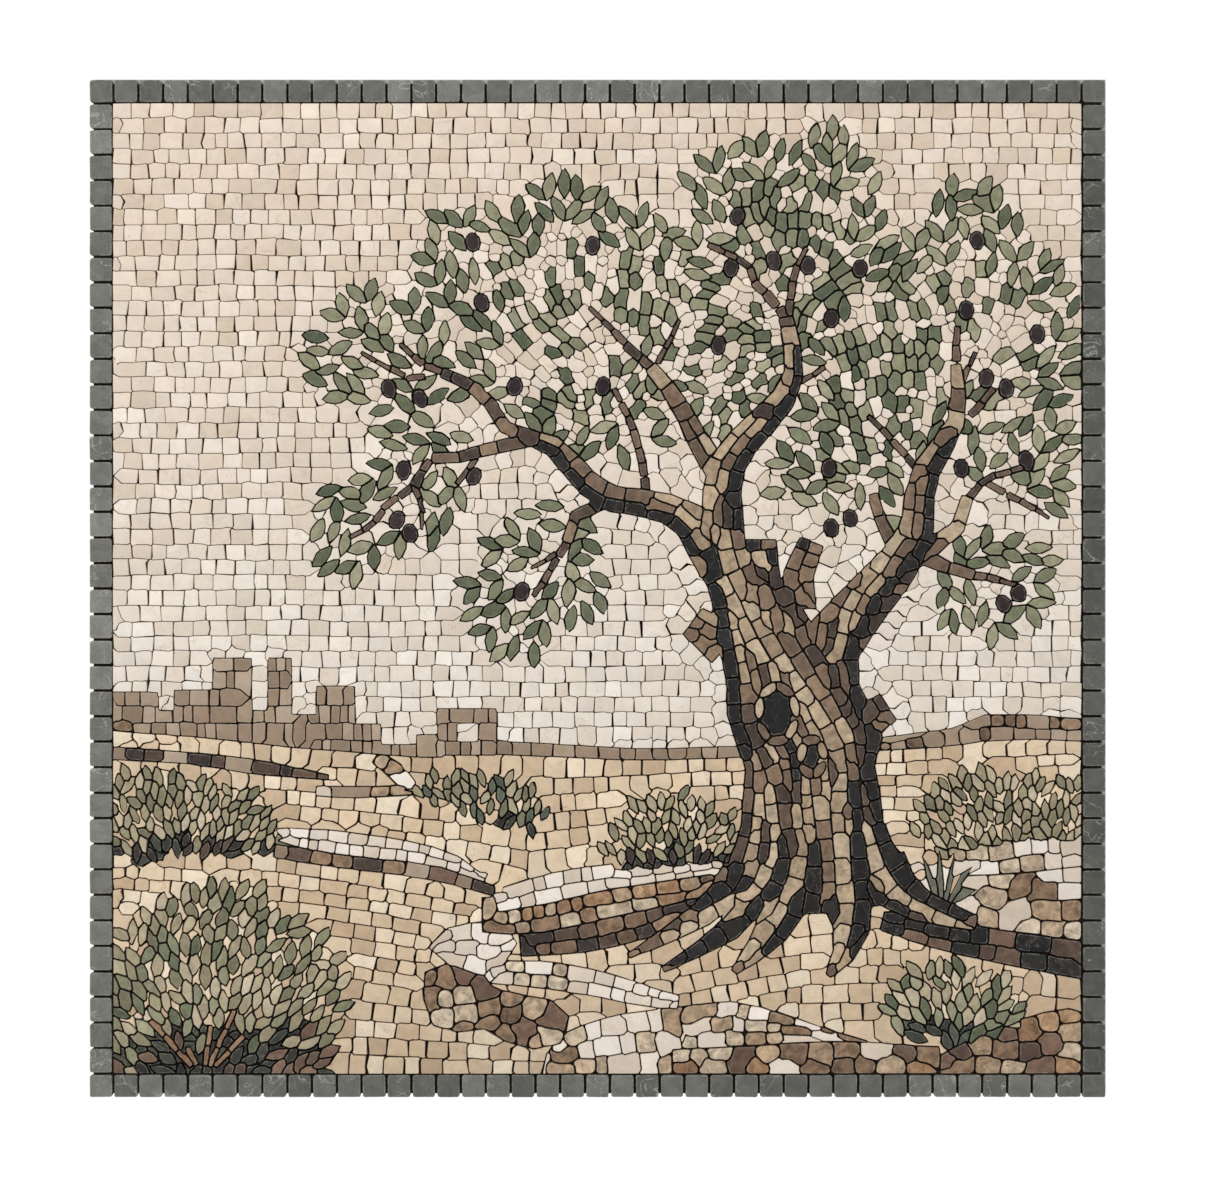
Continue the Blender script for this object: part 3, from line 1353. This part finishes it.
def drawn_in(p, gap):
    """The outline moved inwards by the gap. Edges that the gap swallows are dropped."""
    for _ in range(8):
        edge = np.roll(p, -1, axis=0) - p
        length = np.hypot(edge[:, 0], edge[:, 1]).clip(1e-6)
        inward = np.stack([-edge[:, 1], edge[:, 0]], axis=1) / length[:, None]
        before = np.roll(inward, 1, axis=0)
        spread = (1 + np.sum(inward * before, axis=1)).clip(0.22)
        new = p + gap * (inward + before) / spread[:, None]
        new_edge = np.roll(new, -1, axis=0) - new
        flipped = np.sum(new_edge * edge, axis=1) <= 0.1 * length
        if not flipped.any():
            return new
        if len(p) <= 4:
            break
        k = int(np.argmin(np.where(flipped, length, np.inf)))
        p = p.copy()
        p[k] = (p[k] + p[(k + 1) % len(p)]) / 2
        p = np.delete(p, (k + 1) % len(p), axis=0)
    middle = p.mean(axis=0)
    reach = np.hypot(*(p - middle).T).mean()
    return middle + (p - middle) * max(0.5, 1 - gap / reach)


square = np.array([(0.0, 0.0), (10.0, 0.0), (10.0, 10.0), (0.0, 10.0)])
print("a 10 mm square drawn in by 1 mm covers", signed_area(drawn_in(square, 1.0)), "square mm")

# %% [markdown]
# Nippers and wear knock the corners off. Leaves keep sharper tips, and rocks are rounded twice.
# Coursed stones also have their ends cut short here and there, which opens thin dark wedges.

# %% Cut back each outline
HALF_JOINT = {
    "sky": 0.19, "sand": 0.36, "taupe": 0.34, "cream_rock": 0.42, "leaf": 0.62, "olive": 0.6,
}
HALF_JOINT_ELSEWHERE = 0.58
TRIM = {"sky": 0.75, "sand": 0.8, "taupe": 0.6}  # the ends are cut short by up to this
CORNER = {"squared": 0.42, "rough": 0.5, "oval": 0.8, "leaf": 0.25}
SKY_CORNER = 0.3
ROCKS = ("rock", "rock_light", "brown_rock", "rock_rust")
ROCK_CORNER = 1.5
SLIGHT_BEND = 0.35  # in radians: a flatter corner is left alone
SMALLEST_FACE = 4.0  # square millimetres


def knocked_off(p, corner):
    n = len(p)
    out = []
    for k in range(n):
        here, last, after = p[k], p[k - 1], p[(k + 1) % n]
        a, b = last - here, after - here
        la, lb = math.hypot(*a), math.hypot(*b)
        bend = math.pi - math.acos(max(-1.0, min(1.0, float(np.dot(a, b)) / (la * lb + 1e-9))))
        if bend < SLIGHT_BEND:
            out.append(here)
            continue
        cut = corner * chance.uniform(0.7, 1.25)
        out.append(here + a / la * min(cut, la * 0.32))
        out.append(here + b / lb * min(cut, lb * 0.32))
    return np.array(out)


def trimmed_ends(p, stone, most):
    c, s = math.cos(stone.turn), math.sin(stone.turn)
    middle = p.mean(axis=0)
    along = (p[:, 0] - middle[0]) * c + (p[:, 1] - middle[1]) * s
    cut_by = np.array([chance.uniform(0, most) if chance.random() < 0.45 else 0.0 for _ in p])
    cut_by = np.where(np.abs(along) > 2.5, cut_by * np.sign(along), 0)
    return p - np.stack([cut_by * c, cut_by * s], axis=1)


def finished_outline(stone, shape):
    gap = HALF_JOINT.get(stone.kind, HALF_JOINT_ELSEWHERE)
    p = without_short_edges(shape, 0.9)
    p = drawn_in(p, gap)
    p = without_short_edges(p, 0.5)
    if len(p) < 3 or signed_area(p) < SMALLEST_FACE:
        return None
    if stone.kind in TRIM:
        p = trimmed_ends(p, stone, TRIM[stone.kind])
    if stone.kind in ROCKS:
        return knocked_off(knocked_off(p, ROCK_CORNER), ROCK_CORNER / 2)
    return knocked_off(p, SKY_CORNER if stone.kind == "sky" else CORNER[stone.form])


cut_shapes = [None if s is None else finished_outline(stone, s) for stone, s in zip(stones, shapes)]
drawn = [s for s in cut_shapes if s is not None]
print("stones cut", len(drawn), "points each", round(sum(len(s) for s in drawn) / len(drawn), 1))

# %% [markdown]
# Colour. Each sort of stone comes from a few quarry tones, and no two stones are quite alike.
# The sky is laid warmer above and paler towards the horizon, and the ground likewise.

# %% Quarry tones
TONES = {
    "sky": [(218, 202, 184), (211, 194, 175), (223, 209, 193), (205, 187, 166), (216, 200, 183)],
    "leaf": [(92, 97, 75), (112, 115, 92), (135, 135, 108), (156, 153, 126), (102, 106, 84),
             (81, 89, 69), (123, 125, 99), (146, 144, 117)],
    "leaf_dark": [(86, 94, 78), (98, 104, 86), (74, 82, 70)],
    "leaf_sage": [(147, 140, 112), (125, 121, 96), (167, 157, 130), (110, 108, 86)],
    "sage": [(177, 164, 137), (159, 149, 121), (192, 178, 154), (142, 132, 107), (131, 123, 98)],
    "bush_dark": [(60, 62, 55), (50, 50, 47), (68, 70, 60), (44, 43, 41)],
    "stem": [(150, 118, 92), (132, 102, 78)],
    "agave": [(104, 106, 92), (88, 92, 80), (116, 116, 100)],
    "olive": [(46, 38, 39), (40, 34, 36), (54, 45, 45)],
    "twig": [(104, 84, 72), (90, 72, 62), (116, 96, 82)],
    "black": [(36, 35, 35), (46, 45, 44), (40, 38, 37)],
    "bark_tan": [(168, 147, 121), (183, 162, 136), (153, 132, 110)],
    "bark_pale": [(186, 168, 142), (176, 158, 134)],
    "bark_brown": [(125, 103, 85), (140, 117, 95), (104, 86, 72), (117, 98, 83)],
    "bark_dark": [(76, 63, 55), (61, 52, 48), (90, 76, 65)],
    "sand": [(217, 197, 170), (209, 187, 158), (226, 210, 186), (196, 173, 144), (215, 192, 163),
             (186, 161, 133)],
    "taupe": [(159, 140, 119), (146, 125, 106), (171, 153, 134), (136, 117, 98)],
    "cream_rock": [(220, 209, 197), (210, 197, 183), (230, 220, 210), (200, 185, 167)],
    "brown": [(101, 81, 69), (120, 96, 81), (86, 70, 61)],
    "dark_brown": [(66, 56, 51), (56, 49, 47), (82, 67, 58)],
    "rock": [(173, 149, 122), (151, 126, 102), (188, 166, 140), (132, 108, 86)],
    "rock_light": [(192, 174, 150), (180, 160, 136), (202, 186, 164)],
    "brown_rock": [(130, 106, 86), (106, 86, 70), (152, 125, 101)],
    "rock_rust": [(156, 122, 92), (136, 106, 80), (171, 139, 109)],
    "border": [(106, 106, 101), (96, 96, 91), (116, 116, 110), (99, 99, 93)],
}
GREENS = ("leaf", "leaf_dark", "leaf_sage", "sage", "agave", "bush_dark")
FINISH_OF = {kind: "green" for kind in GREENS}
FINISH_OF.update({kind: "rough" for kind in ROCKS})
FINISH_OF.update({kind: "dark" for kind in ("brown", "dark_brown", "black", "olive")})
FINISH_OF.update({kind: "wood" for kind in ("twig", "stem")})
FINISH_OF.update({kind: "wood" for kind in ("bark_tan", "bark_pale", "bark_brown", "bark_dark")})
FINISH_OF.update({"sky": "honed", "cream_rock": "honed", "sand": "sand", "taupe": "sand",
                  "border": "border"})
print(len(TONES), "sorts of stone,", sum(len(tones) for tones in TONES.values()), "quarry tones")

# %% [markdown]
# A stone's own colour mixes two tones of its sort. The sky grows paler towards the horizon, and
# the sand in front lies a little in shade.

# %% A colour for each stone
SKY_DEPTH = 0.62  # the share of the height that the sky takes
PALE_LOW = (0.022, 0.052, 0.09)  # how much paler the sky is at the horizon, for red, green and blue
SHADE_DEPTH, SHADE = 80, 0.08


def linear(c):
    c = c / 255
    return c / 12.92 if c <= 0.04045 else ((c + 0.055) / 1.055) ** 2.4


def tint(stone, lift=1.0):
    tone, other = chance.choice(TONES[stone.kind]), chance.choice(TONES[stone.kind])
    mix = chance.uniform(0, 0.45)
    lift *= chance.gauss(1, 0.016)
    pale = [1.0, 1.0, 1.0]
    if stone.kind == "sky":
        down = min(1.0, (field_high - stone.z) / (field_high - field_low) / SKY_DEPTH) ** 1.3
        pale = [1.0 + low * down for low in PALE_LOW]
    if stone.kind == "sand":
        lift *= 1.0 - SHADE * max(0.0, 1 - (stone.z - field_low) / SHADE_DEPTH)
    return [linear(min(250.0, (a * (1 - mix) + b * mix) * lift * p))
            for a, b, p in zip(tone, other, pale)]


print("middle grey is", round(linear(128), 3), "in linear light")

# %% [markdown]
# The finishes are node trees, and a few helpers keep them short. Every stone reads its own shift
# from an attribute, so that the veins of one stone do not run on into the next.

# %% Helpers for node trees
def nodes_of(name):
    material = bpy.data.materials.new(name)
    material.use_nodes = True
    tree = material.node_tree
    return material, tree, tree.nodes["Principled BSDF"]


def add(tree, kind, **values):
    node = tree.nodes.new(kind)
    for key, value in values.items():
        if hasattr(node, key):
            setattr(node, key, value)
        else:
            node.inputs[key.replace("_", " ")].default_value = value
    return node


def stone_place(tree):
    """Object coordinates, moved by each stone's own shift."""
    place = add(tree, "ShaderNodeTexCoord")
    shift = add(tree, "ShaderNodeAttribute", attribute_name="stone_shift")
    total = add(tree, "ShaderNodeVectorMath", operation="ADD")
    tree.links.new(place.outputs["Object"], total.inputs[0])
    tree.links.new(shift.outputs["Vector"], total.inputs[1])
    return total.outputs["Vector"]


def noise(tree, place, scale, detail=3.0, distort=0.0):
    node = add(tree, "ShaderNodeTexNoise", Scale=scale, Detail=detail, Distortion=distort)
    tree.links.new(place, node.inputs["Vector"])
    return node.outputs["Fac"]


def ramp(tree, value, stops):
    node = tree.nodes.new("ShaderNodeValToRGB")
    while len(node.color_ramp.elements) < len(stops):
        node.color_ramp.elements.new(0.5)
    for element, (at, grey) in zip(node.color_ramp.elements, stops):
        element.position = at
        element.color = (grey, grey, grey, 1)
    tree.links.new(value, node.inputs["Fac"])
    return node.outputs["Color"]


def mixed(tree, blend, factor, a, b):
    node = add(tree, "ShaderNodeMix", data_type="RGBA", blend_type=blend)
    for socket, value in (("Factor", factor), ("A", a), ("B", b)):
        at = {"Factor": 0, "A": 6, "B": 7}[socket]
        if isinstance(value, (int, float, tuple)):
            node.inputs[at].default_value = value
        else:
            tree.links.new(value, node.inputs[at])
    return node.outputs[2]


print("helpers ready")

# %% [markdown]
# All stones share one recipe in different strengths: soft clouds, a fine grain, thin veins and
# small pits over the stone's own colour. Worn shoulders are a little paler.

# %% The recipe of a stone
GRAIN_SIZE, PIT_SIZE = 2600.0, 520.0
PIT_COLOUR = (0.09, 0.06, 0.04, 1)
WORN_COLOUR = (0.75, 0.7, 0.62, 1)


def stone_material(
    name, cloud, cloud_size, grain, vein, vein_size, vein_colour, pits, rough, shine
):
    """cloud, grain, vein and pits say how strongly each of them changes the stone's colour."""
    material, tree, shader = nodes_of(name)
    place = stone_place(tree)
    own = add(tree, "ShaderNodeAttribute", attribute_name="stone_colour").outputs["Color"]
    soft = ramp(tree, noise(tree, place, cloud_size, 4.0, 0.6),
                [(0.3, 1 - cloud), (0.7, 1 + cloud * 0.6)])
    colour = mixed(tree, "MULTIPLY", 1.0, own, soft)
    fine = ramp(tree, noise(tree, place, GRAIN_SIZE, 2.0), [(0.35, 1 - grain), (0.65, 1 + grain)])
    colour = mixed(tree, "MULTIPLY", 1.0, colour, fine)
    line = ramp(tree, noise(tree, place, vein_size, 5.0, 1.2),
                [(0.485, 0.0), (0.498, 1.0), (0.502, 1.0), (0.515, 0.0)])
    here = ramp(tree, noise(tree, place, 45.0, 1.0), [(0.5, 0.0), (0.62, 1.0)])
    line = mixed(tree, "MULTIPLY", 1.0, line, here)
    amount = mixed(tree, "MULTIPLY", 1.0, line, (vein, vein, vein, 1))
    colour = mixed(tree, "MIX", amount, colour, vein_colour)
    spots = add(tree, "ShaderNodeTexVoronoi", Scale=PIT_SIZE)
    tree.links.new(place, spots.inputs["Vector"])
    pit = ramp(tree, spots.outputs["Distance"], [(0.06, 1.0), (0.2, 0.0)])
    some = ramp(tree, noise(tree, place, 330.0, 2.0), [(0.52, 0.0), (0.6, 1.0)])
    pit = mixed(tree, "MULTIPLY", 1.0, pit, some)
    dark = mixed(tree, "MULTIPLY", 1.0, pit, (pits, pits, pits, 1))
    colour = mixed(tree, "MIX", dark, colour, PIT_COLOUR)
    worn = add(tree, "ShaderNodeAttribute", attribute_name="shoulder").outputs["Fac"]
    patches = ramp(tree, noise(tree, place, 420.0), [(0.4, 0.0), (0.62, 1.0)])
    edge = mixed(tree, "MULTIPLY", 1.0, patches, worn)
    edge = mixed(tree, "MULTIPLY", 1.0, edge, (0.45, 0.45, 0.45, 1))
    pale = mixed(tree, "MIX", 0.35, own, WORN_COLOUR)
    colour = mixed(tree, "MIX", edge, colour, pale)
    tree.links.new(colour, shader.inputs["Base Color"])
    shader.inputs["Roughness"].default_value = rough
    shader.inputs["Specular IOR Level"].default_value = shine
    height = mixed(tree, "ADD", 1.0, noise(tree, place, 900.0, 4.0), noise(tree, place, 190.0, 2.0))
    height = mixed(tree, "SUBTRACT", pits, height, pit)
    bump = add(tree, "ShaderNodeBump", Strength=0.35, Distance=0.0006)
    tree.links.new(height, bump.inputs["Height"])
    tree.links.new(bump.outputs["Normal"], shader.inputs["Normal"])
    return material


print("the finest grain is about", round(1000 / GRAIN_SIZE, 2), "mm")

# %% [markdown]
# Honed limestone is smooth and nearly plain. Green, dark and bark marbles are cloudier, rough
# travertine is pitted, and the border's tumbled marble has pale veins.

# %% Stone finishes
FINISHES = {
    "honed": stone_material(
        "honed_limestone", cloud=0.07, cloud_size=120.0, grain=0.04, vein=0.35, vein_size=70.0,
        vein_colour=(0.4, 0.28, 0.16, 1), pits=0.35, rough=0.72, shine=0.3),
    "sand": stone_material(
        "sand_limestone", cloud=0.12, cloud_size=150.0, grain=0.06, vein=0.4, vein_size=80.0,
        vein_colour=(0.3, 0.19, 0.1, 1), pits=0.5, rough=0.75, shine=0.25),
    "green": stone_material(
        "green_marble", cloud=0.24, cloud_size=220.0, grain=0.13, vein=0.3, vein_size=110.0,
        vein_colour=(0.42, 0.4, 0.3, 1), pits=0.35, rough=0.65, shine=0.16),
    "rough": stone_material(
        "rough_travertine", cloud=0.5, cloud_size=190.0, grain=0.14, vein=0.7, vein_size=90.0,
        vein_colour=(0.07, 0.045, 0.03, 1), pits=1.0, rough=0.85, shine=0.15),
    "dark": stone_material(
        "dark_marble", cloud=0.34, cloud_size=170.0, grain=0.22, vein=0.22, vein_size=90.0,
        vein_colour=(0.3, 0.27, 0.24, 1), pits=0.4, rough=0.62, shine=0.12),
    "wood": stone_material(
        "bark_marble", cloud=0.34, cloud_size=200.0, grain=0.15, vein=0.6, vein_size=110.0,
        vein_colour=(0.07, 0.045, 0.03, 1), pits=0.7, rough=0.7, shine=0.15),
    "border": stone_material(
        "tumbled_marble", cloud=0.2, cloud_size=130.0, grain=0.24, vein=0.5, vein_size=60.0,
        vein_colour=(0.5, 0.5, 0.46, 1), pits=0.4, rough=0.78, shine=0.2),
}
FINISH_ORDER = list(FINISHES)
print("finishes", FINISH_ORDER)

# %% [markdown]
# From flat outlines to stones. Each outline is stood on the mortar and raised to its full height.
# Two smaller copies of the outline then give the worn shoulder. Last, each stone is set a little
# higher or lower and a touch out of true, as a hand leaves them. With a few thousand stones the
# rings are worked out as lists of points and joined to one mesh a piece.

# %% Raise the stones
BASE = -6.5  # the mortar's face, in millimetres in front of the wall
FRONT = -12.0
RINGS = ((0.0, BASE), (0.0, FRONT + 0.42), (0.2, FRONT + 0.12), (0.6, FRONT))  # drawn in, and y
STEEPEST = 0.035  # in radians, how far a stone may lean
SMOOTH_BELOW = math.radians(38)


def shrunk(outline, turn, inset):
    """A smaller copy of the outline, its sides drawn in by the inset along the stone's own axes."""
    if inset == 0:
        return outline
    c, s = math.cos(turn), math.sin(turn)
    middle = outline.mean(axis=0)
    off = outline - middle
    along, across = off[:, 0] * c + off[:, 1] * s, off[:, 1] * c - off[:, 0] * s
    along = along * (1 - inset / max(2.2 * inset, np.ptp(along) / 2))
    across = across * (1 - inset / max(2.2 * inset, np.ptp(across) / 2))
    return middle + np.stack([along * c - across * s, along * s + across * c], axis=1)


def raised(name, members, tilt=1.1, settle=0.22):
    """One piece made of these stones. Each member is an outline, the stone and its colour."""
    points, faces, owners, worn = [], [], [], []
    wave = np.random.default_rng(len(members))
    for k, (outline, stone, _) in enumerate(members):
        start, n = len(points), len(outline)
        middle = outline.mean(axis=0)
        lean_x, lean_z = np.radians(wave.normal(0, tilt, 2)).clip(-STEEPEST, STEEPEST)
        high = wave.uniform(-settle, settle)
        for ring, (inset, y) in enumerate(RINGS):
            for x, z in shrunk(outline, stone.turn, inset):
                lean = high + (x - middle[0]) * lean_x + (z - middle[1]) * lean_z
                points.append((x * MM, (y + (0 if ring == 0 else lean)) * MM, z * MM))
        faces.append(tuple(range(start + n - 1, start - 1, -1)))
        for ring in range(len(RINGS) - 1):
            low = start + ring * n
            for i in range(n):
                j = (i + 1) % n
                faces.append((low + i, low + j, low + n + j, low + n + i))
        faces.append(tuple(range(start + 3 * n, start + 4 * n)))
        owners += [k] * (3 * n + 2)
        worn += [0.0] * (n + 1) + [1.0] * (2 * n) + [0.0]
    mesh = bpy.data.meshes.new(name)
    mesh.from_pydata(points, [], faces)
    owners = np.array(owners)
    colours = np.array([[*colour, 1.0] for _, _, colour in members], dtype=np.float32)[owners]
    shifts = wave.uniform(0, 3, (len(members), 3)).astype(np.float32)[owners]
    slots = np.array([FINISH_ORDER.index(FINISH_OF[s.kind]) for _, s, _ in members], dtype=np.int32)
    for attribute, sort, values, field in (
        ("stone_colour", "FLOAT_COLOR", colours, "color"),
        ("stone_shift", "FLOAT_VECTOR", shifts, "vector"),
        ("shoulder", "FLOAT", np.array(worn, dtype=np.float32), "value"),
    ):
        mesh.attributes.new(attribute, sort, "FACE").data.foreach_set(field, values.ravel())
    for finish in FINISH_ORDER:
        mesh.materials.append(FINISHES[finish])
    mesh.polygons.foreach_set("material_index", slots[owners])
    mesh.update()
    piece = bpy.data.objects.new(name, mesh)
    scene.collection.objects.link(piece)
    bpy.context.view_layer.objects.active = piece
    piece.select_set(True)
    bpy.ops.object.shade_smooth_by_angle(angle=SMOOTH_BELOW)
    piece.select_set(False)
    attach(piece, "root")
    return piece


print("a stone stands", BASE - FRONT, "mm proud of the mortar")

# %% [markdown]
# The stones of a few like areas make one piece. Each piece takes the place of the plain areas of
# the frame that it covers.

# %% Pieces of the picture
PIECES = {
    "sky_stones": (["sky"], "cream_stone"),
    "crown_left_stones": (["crown_left", "crown_left_tip", "crown_left_low", "spray_left"],
                          "leaf_stone"),
    "crown_centre_stones": (["crown_centre"], "leaf_stone"),
    "crown_right_stones": (["crown_right_centre", "crown_right", "crown_right_low", "spray_right"],
                           "leaf_stone"),
    "trunk_stones": (["trunk"], "bark_stone"),
    "bough_stones": ([a for a in TREE if a != "trunk"], "bark_stone"),
    "ruin_stones": (["ruins", "gate_ruin", "horizon_left", "horizon_right"], "taupe_stone"),
    "bush_stones": (BUSHES, "leaf_stone"),
    "sand_stones": (["sand"], "sand_stone"),
    "ledge_stones": (["wall_top", "ledge_upper", "ledge_lower", "path", "terrace_front",
                      "terrace_right"], "cream_stone"),
    "rock_stones": (["bank_tan", "boulders", "rocks_front", "rocks_right", "rocks_lower_right",
                     "ledge_left"], "tan_stone"),
    "dark_course_stones": (["bank_dark", "root_course", "wall_foot", "dark_course_left"],
                           "brown_stone"),
}
for name, (names, slot) in PIECES.items():
    members = [(outline, stone, tint(stone)) for stone, outline in zip(stones, cut_shapes)
               if outline is not None and stone.home in names]
    piece = raised(name, members)
    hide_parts(*[node for a in names for node in AREA_NODES[a]])
    print(name, len(members), "stones", len(piece.data.polygons), "faces")

# %% [markdown]
# The border's stones are sawn squares that have been tumbled until their corners are round. They
# stand in one row on each side, a joint apart.

# %% Border stones
BORDER_CORNER = 1.15
BORDER_JOINT = 1.25
ROW_COUNTS = {"border_top": 41, "border_bottom": 41, "border_left": 38, "border_right": 38}


def rounded_square(x, z, wide, high, turn, corner):
    points = []
    for k, (sx, sz) in enumerate(((1, -1), (1, 1), (-1, 1), (-1, -1))):
        r = corner * chance.uniform(0.6, 1.5)
        cx, cz = sx * (wide / 2 - r), sz * (high / 2 - r)
        for step in range(4):
            a = math.radians(-90 + 90 * k + 30 * step)
            px, pz = cx + r * math.cos(a), cz + r * math.sin(a)
            points.append((x + px * math.cos(turn) - pz * math.sin(turn),
                           z + px * math.sin(turn) + pz * math.cos(turn)))
    return np.array(points)


# The rows are from different slabs, and the right one is the darkest
ROW_LIFT = {"border_top": 0.99, "border_bottom": 0.97, "border_left": 1.08, "border_right": 0.86}
for row, count in ROW_COUNTS.items():
    low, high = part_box(row)
    x1, z1, x2, z2 = low[0] / MM, low[2] / MM, high[0] / MM, high[2] / MM
    members = []
    level = x2 - x1 > z2 - z1
    span = (x2 - x1) if level else (z2 - z1)
    pitch = (span + BORDER_JOINT) / count
    for k in range(count):
        side = pitch - BORDER_JOINT
        along = (k + 0.5) * pitch - BORDER_JOINT / 2
        x, z = (x1 + along, (z1 + z2) / 2) if level else ((x1 + x2) / 2, z1 + along)
        wide, tall = (side, z2 - z1) if level else (x2 - x1, side)
        trim_w, trim_h = chance.uniform(0.0, 0.5), chance.uniform(0.0, 0.5)
        stone = Stone(x, z, 0, wide, tall, "border")
        turn = math.radians(chance.gauss(0, 0.5))
        outline = rounded_square(x, z, wide - trim_w, tall - trim_h, turn, BORDER_CORNER)
        members.append((outline, stone, tint(stone, ROW_LIFT[row])))
    piece = raised(row + "_stones", members, tilt=0.5, settle=0.12)
    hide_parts(row)
print("border stones", sum(ROW_COUNTS.values()))

# %% [markdown]
# Mortar, cement and paper need only a mottled colour and a fine roughness, so one small recipe
# does for all three.

# %% The recipe of a plain finish
def plain_material(name, colour, mottle, stops, rough, grit=None, strength=0.0, deep=0.0):
    """mottle is the size and detail of the patches, stops their shades. grit is the bump's size."""
    material, tree, shader = nodes_of(name)
    place = add(tree, "ShaderNodeTexCoord").outputs["Object"]
    shade = ramp(tree, noise(tree, place, *mottle), stops)
    tree.links.new(mixed(tree, "MULTIPLY", 1.0, colour, shade), shader.inputs["Base Color"])
    shader.inputs["Roughness"].default_value = rough
    if grit:
        bump = add(tree, "ShaderNodeBump", Strength=strength, Distance=deep)
        tree.links.new(noise(tree, place, grit, 5.0), bump.inputs["Height"])
        tree.links.new(bump.outputs["Normal"], shader.inputs["Normal"])
    return material


joint_mortar = plain_material("joint_mortar", (0.03, 0.021, 0.015, 1), (300.0, 5.0),
                              [(0.3, 0.5), (0.7, 1.25)], 0.95, 1500.0, 0.6, 0.0006)
bed_cement = plain_material("bed_cement", (0.5, 0.48, 0.43, 1), (90.0, 6.0),
                            [(0.25, 0.78), (0.75, 1.12)], 0.95, 900.0, 0.5, 0.0005)
floor_paper = plain_material("floor_paper", (0.86, 0.86, 0.85, 1), (6.0, 3.0),
                             [(0.3, 0.97), (0.7, 1.0)], 0.9)
print("plain finishes", joint_mortar.name, bed_cement.name, floor_paper.name)

# %% [markdown]
# Behind the stones lies a skin of darker mortar that fills the foot of the joints, and behind
# that the grey setting bed, which shows as a thin lip on the right and above. A cube is scaled to
# the skin's size, and the scale is then applied.

# %% Mortar and bed
SET_IN = 1.6 * MM  # the mortar stays this far inside the border's outer edge
bed_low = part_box("setting_bed")[0]
stone_x1, stone_z1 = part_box("border_bottom")[0][0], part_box("border_bottom")[0][2]
stone_x2, stone_z2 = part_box("border_top")[1][0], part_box("border_top")[1][2]
mortar_deep = -BASE * MM + bed_low[1]

bpy.ops.mesh.primitive_cube_add(size=1)
mortar = bpy.context.object
mortar.name = "joint_mortar"
mortar.scale = (stone_x2 - stone_x1 - 2 * SET_IN, mortar_deep, stone_z2 - stone_z1 - 2 * SET_IN)
mortar.location = (
    (stone_x1 + stone_x2) / 2, (BASE * MM + bed_low[1]) / 2, (stone_z1 + stone_z2) / 2
)
bpy.ops.object.transform_apply(location=True, rotation=True, scale=True)
mortar.data.materials.append(joint_mortar)
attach(mortar, "root")
mortar.select_set(False)

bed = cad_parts["setting_bed"]
bed.data.materials.clear()
bed.data.materials.append(bed_cement)
floor.data.materials.append(floor_paper)
print("mortar", round(mortar_deep / MM, 2), "mm deep over the bed")
